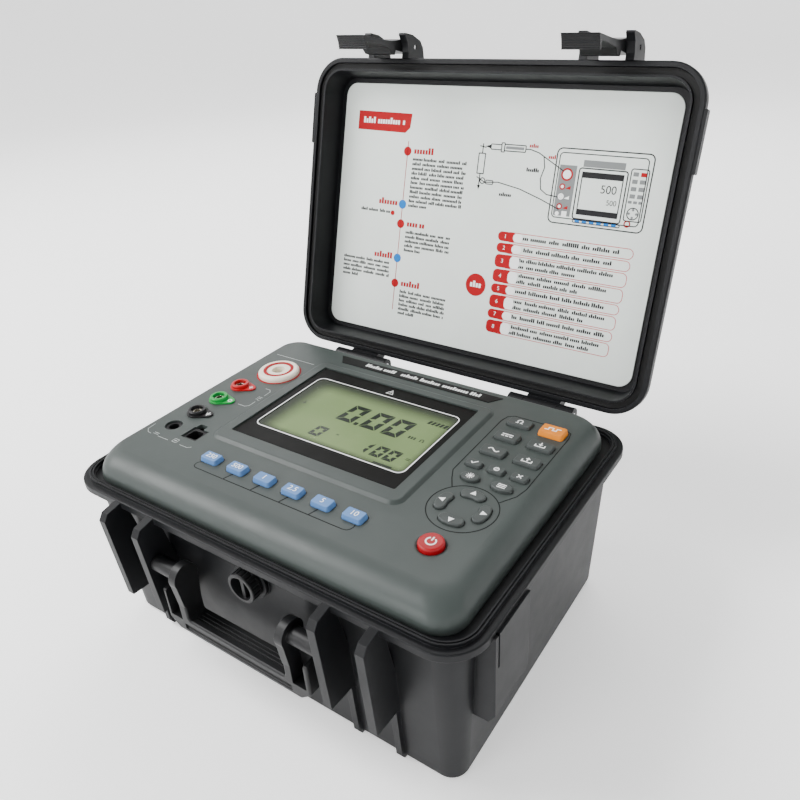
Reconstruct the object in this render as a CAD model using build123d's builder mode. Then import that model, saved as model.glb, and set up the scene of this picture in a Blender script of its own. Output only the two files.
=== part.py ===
from build123d import *
from math import cos, radians, sin
import os

# Insulation resistance tester built into a hinged plastic carry case, lid open on its stop.
# Millimetres. Origin at the centre of the underside of the base, +X to the user's right,
# +Y towards the hinges, +Z up. The keys, latches, handle, valve knob and lid are separate bodies.

os.makedirs("parts", exist_ok=True)

# ---- base tub -------------------------------------------------------------------------------
FLANGE_W = 270.0            # outer width of the sealing flange, X
FLANGE_D = 201.0            # outer depth of the sealing flange, Y
FLANGE_R = 22.0             # plan corner radius of the flange
FLANGE_TOP = 105.9          # height of the flat of the flange
FLANGE_T = 4.3              # flange thickness
WALL_INSET = 7.7            # flange edge to the wall under it
WALL_T = 3.2
WALL_DRAFT = 2.76           # degrees
FLOOR_T = 4.0
WALL_R = 15.0               # plan corner radius of the wall under the flange
LEDGE_DROP = 1.5            # the panel's seat lies this far under the flange top
LEDGE_INSET = 7.0           # flange edge to the seat
OPENING_INSET = 17.0        # flange edge to the opening under the panel
TONGUE_INSET = 4.0          # flange edge to the sealing tongue
TONGUE_T = 2.4
TONGUE_H = 1.9
WALL_TOP = FLANGE_TOP - FLANGE_T
WALL_HALF_D = FLANGE_D / 2 - WALL_INSET
FRONT = -FLANGE_D / 2       # flange's front face
BACK = FLANGE_D / 2


def wall_y(z):
    """Depth of the outer wall, front side, at height z."""
    return -(WALL_HALF_D - (WALL_TOP - z) * sin(radians(WALL_DRAFT)))


# ---- guards, handle and valve on the front wall ---------------------------------------------
GUARD_X = (-89.0, -61.5, 61.5, 89.0)     # centre of each latch guard plate
GUARD_T = 5.0
GUARD_OUT = 12.0            # how far a guard stands in front of the flange, at its top
PIVOT_Y, PIVOT_Z = -104.6, 78.0          # carry handle's pivot
PIVOT_R = 2.0
HANDLE_HALF_W = 52.0
GRIP_Z = (39.5, 50.0)
GRIP_Y = (-110.4, -98.6)
VALVE_X, VALVE_Z, VALVE_FACE_Y = 4.5, 87.0, -102.0
VALVE_BOSS_Y = wall_y(VALVE_Z) - 0.7     # flat boss on the drafted wall

# ---- hinge and lid --------------------------------------------------------------------------
HINGE_Y = BACK + 6.3
HINGE_Z = 104.0
HINGE_X = (-72.0, 72.0)
HINGE_W = 45.0
LID_KNUCKLE_W = 22.8
KNUCKLE_GAP = 0.3
KNUCKLE_R = 5.2
PIN_R = 2.0
RUNNING = 0.05              # radial clearance of a running fit
RIM_Z_CLOSED = FLANGE_TOP + 0.5
LID_OPEN = 106.1            # degrees from closed to the open stop
LID_DEPTH = 42.0
RIM_T = 6.5
LIP_INSET = 8.5             # rim edge to the lid's cavity
LID_WALL_T = 3.0
LID_DRAFT = 2.76
PLATE_W, PLATE_D, PLATE_T = 240.4, 173.4, 1.2
PLATE_DROP = 17.4           # rim to the face of the instruction plate
PLATE_R = 9.0
SHELF_INSET = 17.5
EAR_T = 5.0
LATCH_PIVOT_V = FLANGE_D + 8.0           # latch pivot, from the lid's hinge-side edge
LATCH_PIVOT_W = 8.5         # latch pivot, behind the rim plane
LATCH_PIN_R = 1.5
LATCH_X = (-75.25, 75.25)
LATCH_W = 21.4
LATCH_REST = 8.5            # degrees, swung out from the latched position
PAD_Y = (-77.0, -43.0)      # side pads
PAD_X = 136.5

# ---- inside the base ------------------------------------------------------------------------
BATTERY_X, BATTERY_Y, BATTERY_H = (-88.0, 22.0), (-68.0, 8.0), 42.0
MODULE_X, MODULE_Y, MODULE_H = (36.0, 94.0), (-66.0, 66.0), 46.0

# ---- control panel --------------------------------------------------------------------------
PANEL_LEFT, PANEL_RIGHT = -124.0, 123.0
PANEL_HALF_D = 91.0
PANEL_BASE = FLANGE_TOP - LEDGE_DROP
PANEL_SIDE_TOP = 107.2      # the edge rounding starts here
PANEL_TOP = 118.2
PANEL_T = 3.0
ROUND_FRONT, ROUND_RIGHT, ROUND_SMALL = 16.0, 13.0, 4.0
PANEL_R = 15.0
FRAME_H = 1.6               # raised frame round the display
BEZEL_X, BEZEL_Y = (-68.0, 51.5), (-28.6, 61.4)
BEZEL_T = 1.5
BEZEL_TOP = PANEL_TOP + 0.6
WINDOW_X, WINDOW_Y = (-61.6, 45.8), (-14.4, 49.2)
POST_X, POST_Y = 108.0, 76.0
SCREW_R = 2.0

# ---- keys: the panel hole, the cap and its skirt --------------------------------------------
KEY_GAP = 0.35
KEY_SKIRT = 0.9
KEY_BOTTOM = PANEL_TOP - 4.6
KEY_SKIRT_T = 1.1
KEY_STRAIGHT = 0.4          # the cap's sides lean in above this height over the panel
KEY_TAPER = 14.0            # degrees
PAD_CENTRE = (89.0, -23.0)
PAD_RADIUS = 11.7
ARROW_W = 6.4
ARROW_SPAN = 38.0
ARROW_H, GREY_H, BLUE_H, TEST_H, POWER_H = 1.5, 2.0, 2.8, 3.0, 2.5

BLUE_PITCH = 20.4
BLUE_NAMES = ("key_250v", "key_500v", "key_1kv", "key_2kv5", "key_5kv", "key_10kv")
RECT_KEYS = {}
for i, blue_name in enumerate(BLUE_NAMES):
    RECT_KEYS[blue_name] = (-55.8 + BLUE_PITCH * i, -56.2, 12.4, 7.8, BLUE_H)
LEFT_COL, RIGHT_COL = 79.4, 100.0
ROWS = (61.2, 44.8, 28.2)
for row_name, row_y in zip(("key_ohm", "key_volts_dc", "key_volts_ac"), ROWS):
    RECT_KEYS[row_name] = (LEFT_COL, row_y, 14.8, 8.0, GREY_H)
RECT_KEYS["key_test"] = (RIGHT_COL, ROWS[0], 15.2, 10.2, TEST_H)
for row_name, row_y in zip(("key_memory", "key_recall"), ROWS[1:]):
    RECT_KEYS[row_name] = (RIGHT_COL, row_y, 14.8, 8.0, GREY_H)
for small_name, small_x in zip(("key_yes", "key_clear", "key_no"), (75.8, 89.4, 103.0)):
    RECT_KEYS[small_name] = (small_x, 12.7, 9.6, 5.6, GREY_H)
OVAL_KEYS = {"key_backlight": (80.0, 0.7, 11.0, 6.8), "key_mode": (98.6, 0.7, 12.4, 6.8)}
ARROW_KEYS = {"key_right": 0.0, "key_up": 90.0, "key_left": 180.0, "key_down": 270.0}
POWER_KEY = (90.0, -54.0, 6.7)

# ---- sockets --------------------------------------------------------------------------------
SOCKET_X = -103.8
SOCKET_Y = {"socket_red": 14.8, "socket_green": -4.6, "socket_black": -23.6}
SOCKET_R, SOCKET_H = 5.8, 3.0
SOCKET_BORE_R = 3.9
TAB_REACH, TAB_RISE, TAB_R = 8.4, 1.2, 3.2
CONTACT_R, PLUG_R = 3.1, 2.0
SOCKET_BOTTOM = 99.0
HV_X, HV_Y, HV_R, HV_H = -93.4, 41.5, 14.0, 3.2
HV_BAND_R, HV_CORE_R = 10.2, 8.9
DC_X, DC_Y, DC_R = -105.8, -41.4, 5.5
USB_X, USB_Y = -86.0, -42.0
USB_W, USB_D = 12.4, 11.6

# the lid's rim plane, turned about the hinge by LID_OPEN; the rim's back edge is where x and y are 0
LID_COS, LID_SIN = cos(radians(LID_OPEN)), sin(radians(LID_OPEN))
RIM_BEHIND, RIM_ABOVE = BACK - HINGE_Y, RIM_Z_CLOSED - HINGE_Z
LID = Plane(
    origin=(
        0,
        HINGE_Y + RIM_BEHIND * LID_COS + RIM_ABOVE * LID_SIN,
        HINGE_Z - RIM_BEHIND * LID_SIN + RIM_ABOVE * LID_COS,
    ),
    x_dir=(1, 0, 0),
    z_dir=(0, -LID_SIN, -LID_COS),
)
# In the lid's plane: x across, y from the hinge edge to the latch edge, z out of the lid's mouth.
LID_MID = (0, FLANGE_D / 2)
LID_OUT = Axis((0, 0, 0), LID.z_dir)


def lid_side(x):
    """A plane across the lid at x, whose local x is the depth into the lid and local y is y in LID."""
    return Plane(origin=LID.from_local_coords((x, 0, 0)), x_dir=tuple(-LID.z_dir), z_dir=(1, 0, 0))


def side(x):
    """The plane X = x, whose local x runs along +Y and local y along +Z."""
    return Plane(origin=(x, 0, 0), x_dir=(0, 1, 0), z_dir=(1, 0, 0))


def front(y):
    """The plane Y = y seen from the front: local x along +X, local y along +Z, normal -Y."""
    return Plane(origin=(0, y, 0), x_dir=(1, 0, 0), z_dir=(0, -1, 0))


def rectangle(x_range, y_range, radius=0.0, mode=Mode.ADD):
    """A rectangle between two X values and two Y values, in the sketch being built."""
    with Locations(((x_range[0] + x_range[1]) / 2, (y_range[0] + y_range[1]) / 2)):
        size = (x_range[1] - x_range[0], y_range[1] - y_range[0])
        if radius:
            RectangleRounded(*size, radius, mode=mode)
        else:
            Rectangle(*size, mode=mode)


def finish(part, name):
    part.label = name
    export_step(part, f"parts/{name}.step")


# =============================================================================================
# Base tub: drafted walls, flange with a sealing tongue, latch guards, side pads, hinge knuckles
# =============================================================================================
with BuildPart() as base_tub:
    with BuildSketch(Plane.XY.offset(WALL_TOP)):
        RectangleRounded(FLANGE_W - 2 * WALL_INSET, FLANGE_D - 2 * WALL_INSET, WALL_R)
    extrude(amount=-WALL_TOP, taper=WALL_DRAFT)
    fillet(base_tub.faces().sort_by(Axis.Z)[0].edges(), 3.5)
    # flange and its sealing tongue, which is two thin ridges on one low rib
    with BuildSketch(Plane.XY.offset(WALL_TOP)):
        RectangleRounded(FLANGE_W, FLANGE_D, FLANGE_R)
    extrude(amount=FLANGE_T)
    outer_edges = base_tub.edges().group_by(Axis.Z)[-1]
    fillet(outer_edges, 0.7)
    tongue_in = TONGUE_INSET + TONGUE_T
    with BuildSketch(Plane.XY.offset(FLANGE_TOP)):
        RectangleRounded(FLANGE_W - 2 * TONGUE_INSET, FLANGE_D - 2 * TONGUE_INSET, FLANGE_R - TONGUE_INSET)
        RectangleRounded(
            FLANGE_W - 2 * tongue_in, FLANGE_D - 2 * tongue_in, FLANGE_R - tongue_in, mode=Mode.SUBTRACT
        )
    extrude(amount=TONGUE_H)
    groove = TONGUE_INSET + TONGUE_T / 3
    with BuildSketch(Plane.XY.offset(FLANGE_TOP + TONGUE_H)):
        RectangleRounded(FLANGE_W - 2 * groove, FLANGE_D - 2 * groove, FLANGE_R - groove)
        RectangleRounded(
            FLANGE_W - 2 * groove - 2 * TONGUE_T / 3,
            FLANGE_D - 2 * groove - 2 * TONGUE_T / 3,
            FLANGE_R - groove - TONGUE_T / 3,
            mode=Mode.SUBTRACT,
        )
    extrude(amount=-0.7, mode=Mode.SUBTRACT)
    # seat for the panel and the opening under it
    with BuildSketch(Plane.XY.offset(PANEL_BASE)):
        RectangleRounded(FLANGE_W - 2 * LEDGE_INSET, FLANGE_D - 2 * LEDGE_INSET, FLANGE_R - LEDGE_INSET)
    extrude(amount=FLANGE_TOP + 1 - PANEL_BASE, mode=Mode.SUBTRACT)
    with BuildSketch(Plane.XY.offset(WALL_TOP - 1)):
        RectangleRounded(FLANGE_W - 2 * OPENING_INSET, FLANGE_D - 2 * OPENING_INSET, 10)
    extrude(amount=FLANGE_T + 2, mode=Mode.SUBTRACT)
    # cavity
    with BuildSketch(Plane.XY.offset(WALL_TOP)):
        RectangleRounded(
            FLANGE_W - 2 * (WALL_INSET + WALL_T), FLANGE_D - 2 * (WALL_INSET + WALL_T), WALL_R - WALL_T
        )
    extrude(amount=-(WALL_TOP - FLOOR_T), taper=WALL_DRAFT, mode=Mode.SUBTRACT)
    # four tall posts: a screw goes up each one from below into the panel
    with BuildSketch(Plane.XY.offset(FLOOR_T)):
        with Locations([(sx * POST_X, sy * POST_Y) for sx in (-1, 1) for sy in (-1, 1)]):
            Circle(6.5)
    extrude(amount=96)
    with Locations([(sx * POST_X, sy * POST_Y, 0) for sx in (-1, 1) for sy in (-1, 1)]):
        Cylinder(4.2, 92, align=(Align.CENTER, Align.CENTER, Align.MIN), mode=Mode.SUBTRACT)
        Cylinder(SCREW_R + 0.3, 110, align=(Align.CENTER, Align.CENTER, Align.MIN), mode=Mode.SUBTRACT)
    # low walls round the battery pack and round the high-voltage module
    for x_range, y_range, radius in ((BATTERY_X, BATTERY_Y, 5), (MODULE_X, MODULE_Y, 4)):
        with BuildSketch(Plane.XY.offset(FLOOR_T)):
            for out, mode in ((2.3, Mode.ADD), (0.3, Mode.SUBTRACT)):
                across = (x_range[0] - out, x_range[1] + out)
                deep = (y_range[0] - out, y_range[1] + out)
                rectangle(across, deep, radius + out, mode=mode)
        extrude(amount=14)
    # latch guards: four tall plates whose top slopes out from the flange
    for x in GUARD_X:
        with BuildSketch(side(x - GUARD_T / 2)) as guard_profile:
            with BuildLine():
                Polyline(
                    (FRONT + 3, WALL_TOP + 1),
                    (FRONT + 0.4, FLANGE_TOP - 0.6),
                    (FRONT - GUARD_OUT + 3, FLANGE_TOP - 2.4),
                    (FRONT - GUARD_OUT, FLANGE_TOP - 6.5),
                    (FRONT - GUARD_OUT + 3.3, 43.0),
                    (wall_y(42) - 3.0, 42.0),
                    (wall_y(38) + 1.5, 38.0),
                    (wall_y(60) + 1.5, 60),
                    close=True,
                )
            make_face()
            fillet(guard_profile.vertices().filter_by(lambda v: v.Y < -100 and v.Z < 60), 8.5)
        extrude(amount=GUARD_T)
        # low rib that carries the guard's line down to the floor
        with BuildSketch(side(x - 1.9)):
            with BuildLine():
                Polyline(
                    (wall_y(42) - 3.0, 42),
                    (wall_y(4.5) - 3.0, 4.5),
                    (wall_y(0) - 1.0, 0.6),
                    (wall_y(0) + 4.5, 0.6),
                    (wall_y(42) + 1.5, 42),
                    close=True,
                )
            make_face()
        extrude(amount=3.8)
    # side pads with a narrow slit
    for mirror_x in (-1, 1):
        with BuildSketch(front(PAD_Y[0])):
            with BuildLine():
                Polyline(
                    (mirror_x * (FLANGE_W / 2 - 12), FLANGE_TOP - 2.8),
                    (mirror_x * PAD_X, FLANGE_TOP - 2.8),
                    (mirror_x * PAD_X, 52),
                    (mirror_x * (PAD_X - 3.5), 46),
                    (mirror_x * (FLANGE_W / 2 - 12), 46),
                    close=True,
                )
            make_face()
        extrude(amount=-(PAD_Y[1] - PAD_Y[0]))
        with Locations((mirror_x * PAD_X, PAD_Y[0] + 3.2, 93)):
            Box(5, 1.4, 21, mode=Mode.SUBTRACT)
    # hinge: two knuckles at each side of the lid's own
    for x in HINGE_X:
        for x0, x1 in (
            (x - HINGE_W / 2, x - LID_KNUCKLE_W / 2 - KNUCKLE_GAP),
            (x + LID_KNUCKLE_W / 2 + KNUCKLE_GAP, x + HINGE_W / 2),
        ):
            with BuildSketch(side(x0)):
                with Locations((HINGE_Y, HINGE_Z)):
                    Circle(KNUCKLE_R)
                with BuildLine():
                    Polyline(
                        (BACK - 4, WALL_TOP + 1),
                        (BACK - 0.5, FLANGE_TOP - 0.7),
                        (HINGE_Y, HINGE_Z + 1.2),
                        (HINGE_Y + KNUCKLE_R - 0.4, HINGE_Z - 1.6),
                        (HINGE_Y + 2.5, HINGE_Z - 7),
                        (-wall_y(66) - 1.0, 66),
                        (-wall_y(90) - 1.5, 90),
                        close=True,
                    )
                make_face()
            extrude(amount=x1 - x0)
    with Locations([Location((x, HINGE_Y, HINGE_Z), (0, 90, 0)) for x in HINGE_X]):
        Cylinder(PIN_R + 0.02, HINGE_W + 2, mode=Mode.SUBTRACT)
    # flat boss for the pressure valve, then holes for the handle pins and for the valve
    with BuildSketch(front(VALVE_BOSS_Y)):
        with Locations((VALVE_X, VALVE_Z)):
            Circle(11.6)
    extrude(amount=-2.5)
    with Locations(Location((0, PIVOT_Y, PIVOT_Z), (0, 90, 0))):
        Cylinder(PIVOT_R + 0.02, 2 * (62.0 + GUARD_T / 2 - 1.5), mode=Mode.SUBTRACT)
    with Locations(Location((VALVE_X, wall_y(VALVE_Z), VALVE_Z), (90, 0, 0))):
        Cylinder(6.2, 12, mode=Mode.SUBTRACT)
finish(base_tub.part, "base_tub")

# =============================================================================================
# Control panel: rounded cover with a raised frame round the display
# =============================================================================================
SECTIONS = 6


def panel_outline(front_in, right_in, small_in):
    """X and Y range of a section of the panel, its four sides moved in by different amounts."""
    return (
        (PANEL_LEFT + small_in, PANEL_RIGHT - right_in),
        (-PANEL_HALF_D + front_in, PANEL_HALF_D - small_in),
    )


def arrow_arc(angle):
    """Centre line of one arrow key, round the middle of the direction pad."""
    return CenterArc((0, 0), PAD_RADIUS, angle - ARROW_SPAN / 2, ARROW_SPAN)


with BuildPart() as control_panel:
    with BuildSketch(Plane.XY.offset(PANEL_BASE)):
        rectangle(*panel_outline(0, 0, 0), PANEL_R)
    extrude(amount=PANEL_SIDE_TOP - PANEL_BASE)
    for i in range(SECTIONS + 1):
        turn = radians(90 * i / SECTIONS)
        inward = 1 - cos(turn)
        with BuildSketch(Plane.XY.offset(PANEL_SIDE_TOP + (PANEL_TOP - PANEL_SIDE_TOP) * sin(turn))):
            outline = panel_outline(ROUND_FRONT * inward, ROUND_RIGHT * inward, ROUND_SMALL * inward)
            rectangle(*outline, PANEL_R - 3 * inward)
    loft()
    # raised frame round the display
    with BuildSketch(Plane.XY.offset(PANEL_TOP - 0.5)):
        rectangle((BEZEL_X[0] - 9.5, BEZEL_X[1] + 10), (BEZEL_Y[0] - 11.5, BEZEL_Y[1] + 8), 8)
    extrude(amount=FRAME_H + 0.5, taper=52)
    fillet(control_panel.faces().sort_by(Axis.Z)[-1].outer_wire().edges(), 2.0)
    # underside hollow, then bosses for the case screws and for the circuit board
    with BuildSketch(Plane.XY.offset(PANEL_BASE)):
        rectangle((PANEL_LEFT + 4.5, PANEL_RIGHT - 9), (-PANEL_HALF_D + 11.5, PANEL_HALF_D - 4), 8)
    extrude(amount=PANEL_TOP - PANEL_T - PANEL_BASE, mode=Mode.SUBTRACT)
    with BuildSketch(Plane.XY.offset(100.4)):
        with Locations([(sx * POST_X, sy * POST_Y) for sx in (-1, 1) for sy in (-1, 1)]):
            Circle(4.6)
    extrude(amount=PANEL_TOP - PANEL_T - 100.4 + 0.5)
    with BuildSketch(Plane.XY.offset(109.2)):
        with Locations((-64, 66), (-64, -67), (58, 66), (58, -67)):
            Circle(3.2)
    extrude(amount=PANEL_TOP - PANEL_T - 109.2 + 0.5)
    with Locations([(sx * POST_X, sy * POST_Y, 100) for sx in (-1, 1) for sy in (-1, 1)]):
        Cylinder(SCREW_R + 0.02, 12, align=(Align.CENTER, Align.CENTER, Align.MIN), mode=Mode.SUBTRACT)
    with Locations((-64, 66, 109), (-64, -67, 109), (58, 66, 109), (58, -67, 109)):
        Cylinder(1.27, 5.5, align=(Align.CENTER, Align.CENTER, Align.MIN), mode=Mode.SUBTRACT)
    # pocket for the bezel and the window behind it
    with BuildSketch(Plane.XY.offset(BEZEL_TOP - BEZEL_T)):
        rectangle((BEZEL_X[0] - 0.25, BEZEL_X[1] + 0.25), (BEZEL_Y[0] - 0.25, BEZEL_Y[1] + 0.25), 1.2)
    extrude(amount=6, mode=Mode.SUBTRACT)
    with BuildSketch(Plane.XY.offset(PANEL_BASE)):
        rectangle((WINDOW_X[0] - 1, WINDOW_X[1] + 1), (WINDOW_Y[0] - 1, WINDOW_Y[1] + 1), 2)
    extrude(amount=20, mode=Mode.SUBTRACT)
    # key holes
    with BuildSketch(Plane.XY.offset(PANEL_TOP - PANEL_T - 1)):
        for x, y, width, depth, _ in RECT_KEYS.values():
            with Locations((x, y)):
                RectangleRounded(width + 2 * KEY_GAP, depth + 2 * KEY_GAP, 1.6 + KEY_GAP)
        for x, y, width, depth in OVAL_KEYS.values():
            with Locations((x, y)):
                Ellipse(width / 2 + KEY_GAP, depth / 2 + KEY_GAP)
        for angle in ARROW_KEYS.values():
            with Locations(PAD_CENTRE):
                SlotArc(arrow_arc(angle), ARROW_W + 2 * KEY_GAP)
        with Locations(POWER_KEY[:2]):
            Circle(POWER_KEY[2] + KEY_GAP)
    extrude(amount=PANEL_T + 4, mode=Mode.SUBTRACT)
    # shallow dish round the power key
    with Locations((POWER_KEY[0], POWER_KEY[1], PANEL_TOP + 18.3)):
        Sphere(20, mode=Mode.SUBTRACT)
    # socket holes
    with BuildSketch(Plane.XY.offset(PANEL_TOP - PANEL_T - 1)):
        with Locations([(SOCKET_X, y) for y in SOCKET_Y.values()]):
            Circle(SOCKET_R + 0.1)
        with Locations((HV_X, HV_Y)):
            Circle(HV_R - 2.0)
        with Locations((DC_X, DC_Y)):
            Circle(DC_R)
        with Locations((USB_X, USB_Y)):
            Rectangle(USB_W, USB_D)
        with Locations((USB_X - 2, USB_Y + USB_D / 2 + 1.5)):
            RectangleRounded(6.4, 5, 1.2)
    extrude(amount=PANEL_T + 3, mode=Mode.SUBTRACT)
finish(control_panel.part, "control_panel")

# =============================================================================================
# Keys: a rounded cap through the panel on a wider skirt that stops it from below
# =============================================================================================
for name, (x, y, width, depth, height) in RECT_KEYS.items():
    with BuildPart() as key:
        with BuildSketch(Plane.XY.offset(KEY_BOTTOM)):
            with Locations((x, y)):
                RectangleRounded(width + 2 * KEY_SKIRT, depth + 2 * KEY_SKIRT, 2.2)
        extrude(amount=KEY_SKIRT_T)
        with BuildSketch(Plane.XY.offset(KEY_BOTTOM)):
            with Locations((x, y)):
                RectangleRounded(width, depth, 1.6)
        extrude(amount=PANEL_TOP + KEY_STRAIGHT - KEY_BOTTOM)
        with BuildSketch(Plane.XY.offset(PANEL_TOP + KEY_STRAIGHT)):
            with Locations((x, y)):
                RectangleRounded(width, depth, 1.6)
        extrude(amount=height - KEY_STRAIGHT, taper=KEY_TAPER)
        fillet(key.faces().sort_by(Axis.Z)[-1].edges(), 0.45)
    finish(key.part, name)

for name, (x, y, width, depth) in OVAL_KEYS.items():
    with BuildPart() as key:
        with BuildSketch(Plane.XY.offset(KEY_BOTTOM)):
            with Locations((x, y)):
                Ellipse(width / 2 + KEY_SKIRT, depth / 2 + KEY_SKIRT)
        extrude(amount=KEY_SKIRT_T)
        with BuildSketch(Plane.XY.offset(KEY_BOTTOM)):
            with Locations((x, y)):
                Ellipse(width / 2, depth / 2)
        extrude(amount=PANEL_TOP + GREY_H - KEY_BOTTOM)
        fillet(key.faces().sort_by(Axis.Z)[-1].edges(), 0.8)
    finish(key.part, name)

for name, angle in ARROW_KEYS.items():
    with BuildPart() as key:
        with BuildSketch(Plane.XY.offset(KEY_BOTTOM)):
            with Locations(PAD_CENTRE):
                SlotArc(arrow_arc(angle), ARROW_W + 2 * KEY_SKIRT)
        extrude(amount=KEY_SKIRT_T)
        with BuildSketch(Plane.XY.offset(KEY_BOTTOM)):
            with Locations(PAD_CENTRE):
                SlotArc(arrow_arc(angle), ARROW_W)
        extrude(amount=PANEL_TOP + ARROW_H - KEY_BOTTOM)
        fillet(key.faces().sort_by(Axis.Z)[-1].edges(), 0.8)
    finish(key.part, name)

with BuildPart() as key_power:
    with BuildSketch(Plane.XY.offset(KEY_BOTTOM)):
        with Locations(POWER_KEY[:2]):
            Circle(POWER_KEY[2] + KEY_SKIRT)
    extrude(amount=KEY_SKIRT_T)
    with BuildSketch(Plane.XY.offset(KEY_BOTTOM)):
        with Locations(POWER_KEY[:2]):
            Circle(POWER_KEY[2])
    extrude(amount=PANEL_TOP + POWER_H - KEY_BOTTOM)
    fillet(key_power.faces().sort_by(Axis.Z)[-1].edges(), 1.4)
finish(key_power.part, "key_power")

# =============================================================================================
# Display: black bezel, clear window, LCD with its backlight
# =============================================================================================
with BuildPart() as display_bezel:
    with BuildSketch(Plane.XY.offset(BEZEL_TOP - BEZEL_T)):
        rectangle(BEZEL_X, BEZEL_Y, 1.0)
    extrude(amount=BEZEL_T)
    chamfer(display_bezel.faces().sort_by(Axis.Z)[-1].edges(), 0.25)
    with BuildSketch(Plane.XY.offset(BEZEL_TOP - BEZEL_T)):
        rectangle(WINDOW_X, WINDOW_Y, 2.0)
    extrude(amount=BEZEL_T, mode=Mode.SUBTRACT)
finish(display_bezel.part, "display_bezel")

with BuildPart() as display_window:
    with BuildSketch(Plane.XY.offset(BEZEL_TOP - BEZEL_T)):
        rectangle(
            (WINDOW_X[0] + 0.05, WINDOW_X[1] - 0.05), (WINDOW_Y[0] + 0.05, WINDOW_Y[1] - 0.05), 1.95
        )
    extrude(amount=BEZEL_T - 0.15)
finish(display_window.part, "display_window")

with BuildPart() as lcd_glass:
    with BuildSketch(Plane.XY.offset(PANEL_TOP - 4.6)):
        rectangle((WINDOW_X[0] + 4, WINDOW_X[1] - 1), (WINDOW_Y[0] + 2, WINDOW_Y[1] - 4))
    extrude(amount=2.6)
finish(lcd_glass.part, "lcd_glass")

with BuildPart() as lcd_backlight:
    with BuildSketch(Plane.XY.offset(PANEL_TOP - 8.2)):
        rectangle((WINDOW_X[0], WINDOW_X[1]), (WINDOW_Y[0] + 0.5, WINDOW_Y[1] - 0.5))
    extrude(amount=3.6)
    fillet(lcd_backlight.edges().filter_by(Axis.Z), 1.5)
finish(lcd_backlight.part, "lcd_backlight")

with BuildPart() as name_strip:
    with BuildSketch(Plane.XY.offset(PANEL_TOP)):
        with BuildLine():
            Polyline((-64.0, 74.6), (51.0, 74.6), (57.0, 83.0), (-70.0, 83.0), close=True)
        make_face()
    extrude(amount=0.4)
finish(name_strip.part, "name_strip")

# =============================================================================================
# Sockets: three shrouded 4 mm sockets, the high-voltage socket, DC and USB inlets
# =============================================================================================
for name, y in SOCKET_Y.items():
    with BuildPart() as socket:
        with BuildSketch(Plane.XY.offset(SOCKET_BOTTOM)):
            with Locations((SOCKET_X, y)):
                Circle(SOCKET_R)
        extrude(amount=PANEL_TOP + SOCKET_H - SOCKET_BOTTOM)
        fillet(socket.faces().sort_by(Axis.Z)[-1].edges(), 0.8)
        # collar on the panel, drawn out into a tab that carries the socket's symbol
        with BuildSketch(Plane.XY.offset(PANEL_TOP)):
            with Locations((SOCKET_X, y)):
                Circle(SOCKET_R + 0.9)
            with Locations((SOCKET_X + TAB_REACH, y + TAB_RISE)):
                Circle(TAB_R)
            make_hull()
        extrude(amount=0.9)
        # locking nut's flange under the panel
        with BuildSketch(Plane.XY.offset(PANEL_TOP - PANEL_T - 3)):
            with Locations((SOCKET_X, y)):
                RegularPolygon(7.6, 6)
        extrude(amount=2.8)
        with BuildSketch(Plane.XY.offset(SOCKET_BOTTOM + 1.5)):
            with Locations((SOCKET_X, y)):
                Circle(SOCKET_BORE_R)
        extrude(amount=30, mode=Mode.SUBTRACT)
    finish(socket.part, name)

with BuildPart() as socket_contacts:
    for y in SOCKET_Y.values():
        with BuildSketch(Plane.XY.offset(SOCKET_BOTTOM + 1.5)):
            with Locations((SOCKET_X, y)):
                Circle(CONTACT_R)
        extrude(amount=PANEL_TOP + 1.4 - SOCKET_BOTTOM - 1.5)
        with Locations((SOCKET_X, y, PANEL_TOP + 1.4)):
            Cylinder(PLUG_R, 30, mode=Mode.SUBTRACT)
finish(socket_contacts.part, "socket_contacts")

with BuildPart() as hv_collar:
    with BuildSketch(Plane.XY.offset(PANEL_TOP)):
        with Locations((HV_X, HV_Y)):
            Circle(HV_R)
            Circle(HV_BAND_R, mode=Mode.SUBTRACT)
    extrude(amount=HV_H)
    fillet(hv_collar.edges().group_by(Axis.Z)[-1].sort_by(SortBy.RADIUS)[-1], 1.9)
    with BuildSketch(Plane.XY.offset(SOCKET_BOTTOM)):
        with Locations((HV_X, HV_Y)):
            Circle(HV_R - 2.2)
            Circle(HV_BAND_R, mode=Mode.SUBTRACT)
    extrude(amount=PANEL_TOP - SOCKET_BOTTOM)
finish(hv_collar.part, "hv_collar")

with BuildPart() as hv_band:
    with BuildSketch(Plane.XY.offset(PANEL_TOP - 4)):
        with Locations((HV_X, HV_Y)):
            Circle(HV_BAND_R)
            Circle(HV_CORE_R, mode=Mode.SUBTRACT)
    extrude(amount=4 + HV_H - 0.25)
finish(hv_band.part, "hv_band")

with BuildPart() as hv_core:
    with BuildSketch(Plane.XY.offset(SOCKET_BOTTOM)):
        with Locations((HV_X, HV_Y)):
            Circle(HV_CORE_R)
    extrude(amount=PANEL_TOP + HV_H - 0.4 - SOCKET_BOTTOM)
    fillet(hv_core.faces().sort_by(Axis.Z)[-1].edges(), 0.5)
    with Locations((HV_X, HV_Y, PANEL_TOP + HV_H)):
        Cylinder(4.6, 2 * 3.4, mode=Mode.SUBTRACT)
        Cylinder(3.4, 2 * 20.0, mode=Mode.SUBTRACT)
finish(hv_core.part, "hv_core")

with BuildPart() as hv_contact:
    with BuildSketch(Plane.XY.offset(PANEL_TOP + HV_H - 20.0)):
        with Locations((HV_X, HV_Y)):
            Circle(3.35)
    extrude(amount=15.6)
    with Locations((HV_X, HV_Y, PANEL_TOP)):
        Cylinder(PLUG_R, 34, mode=Mode.SUBTRACT)
finish(hv_contact.part, "hv_contact")

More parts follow.
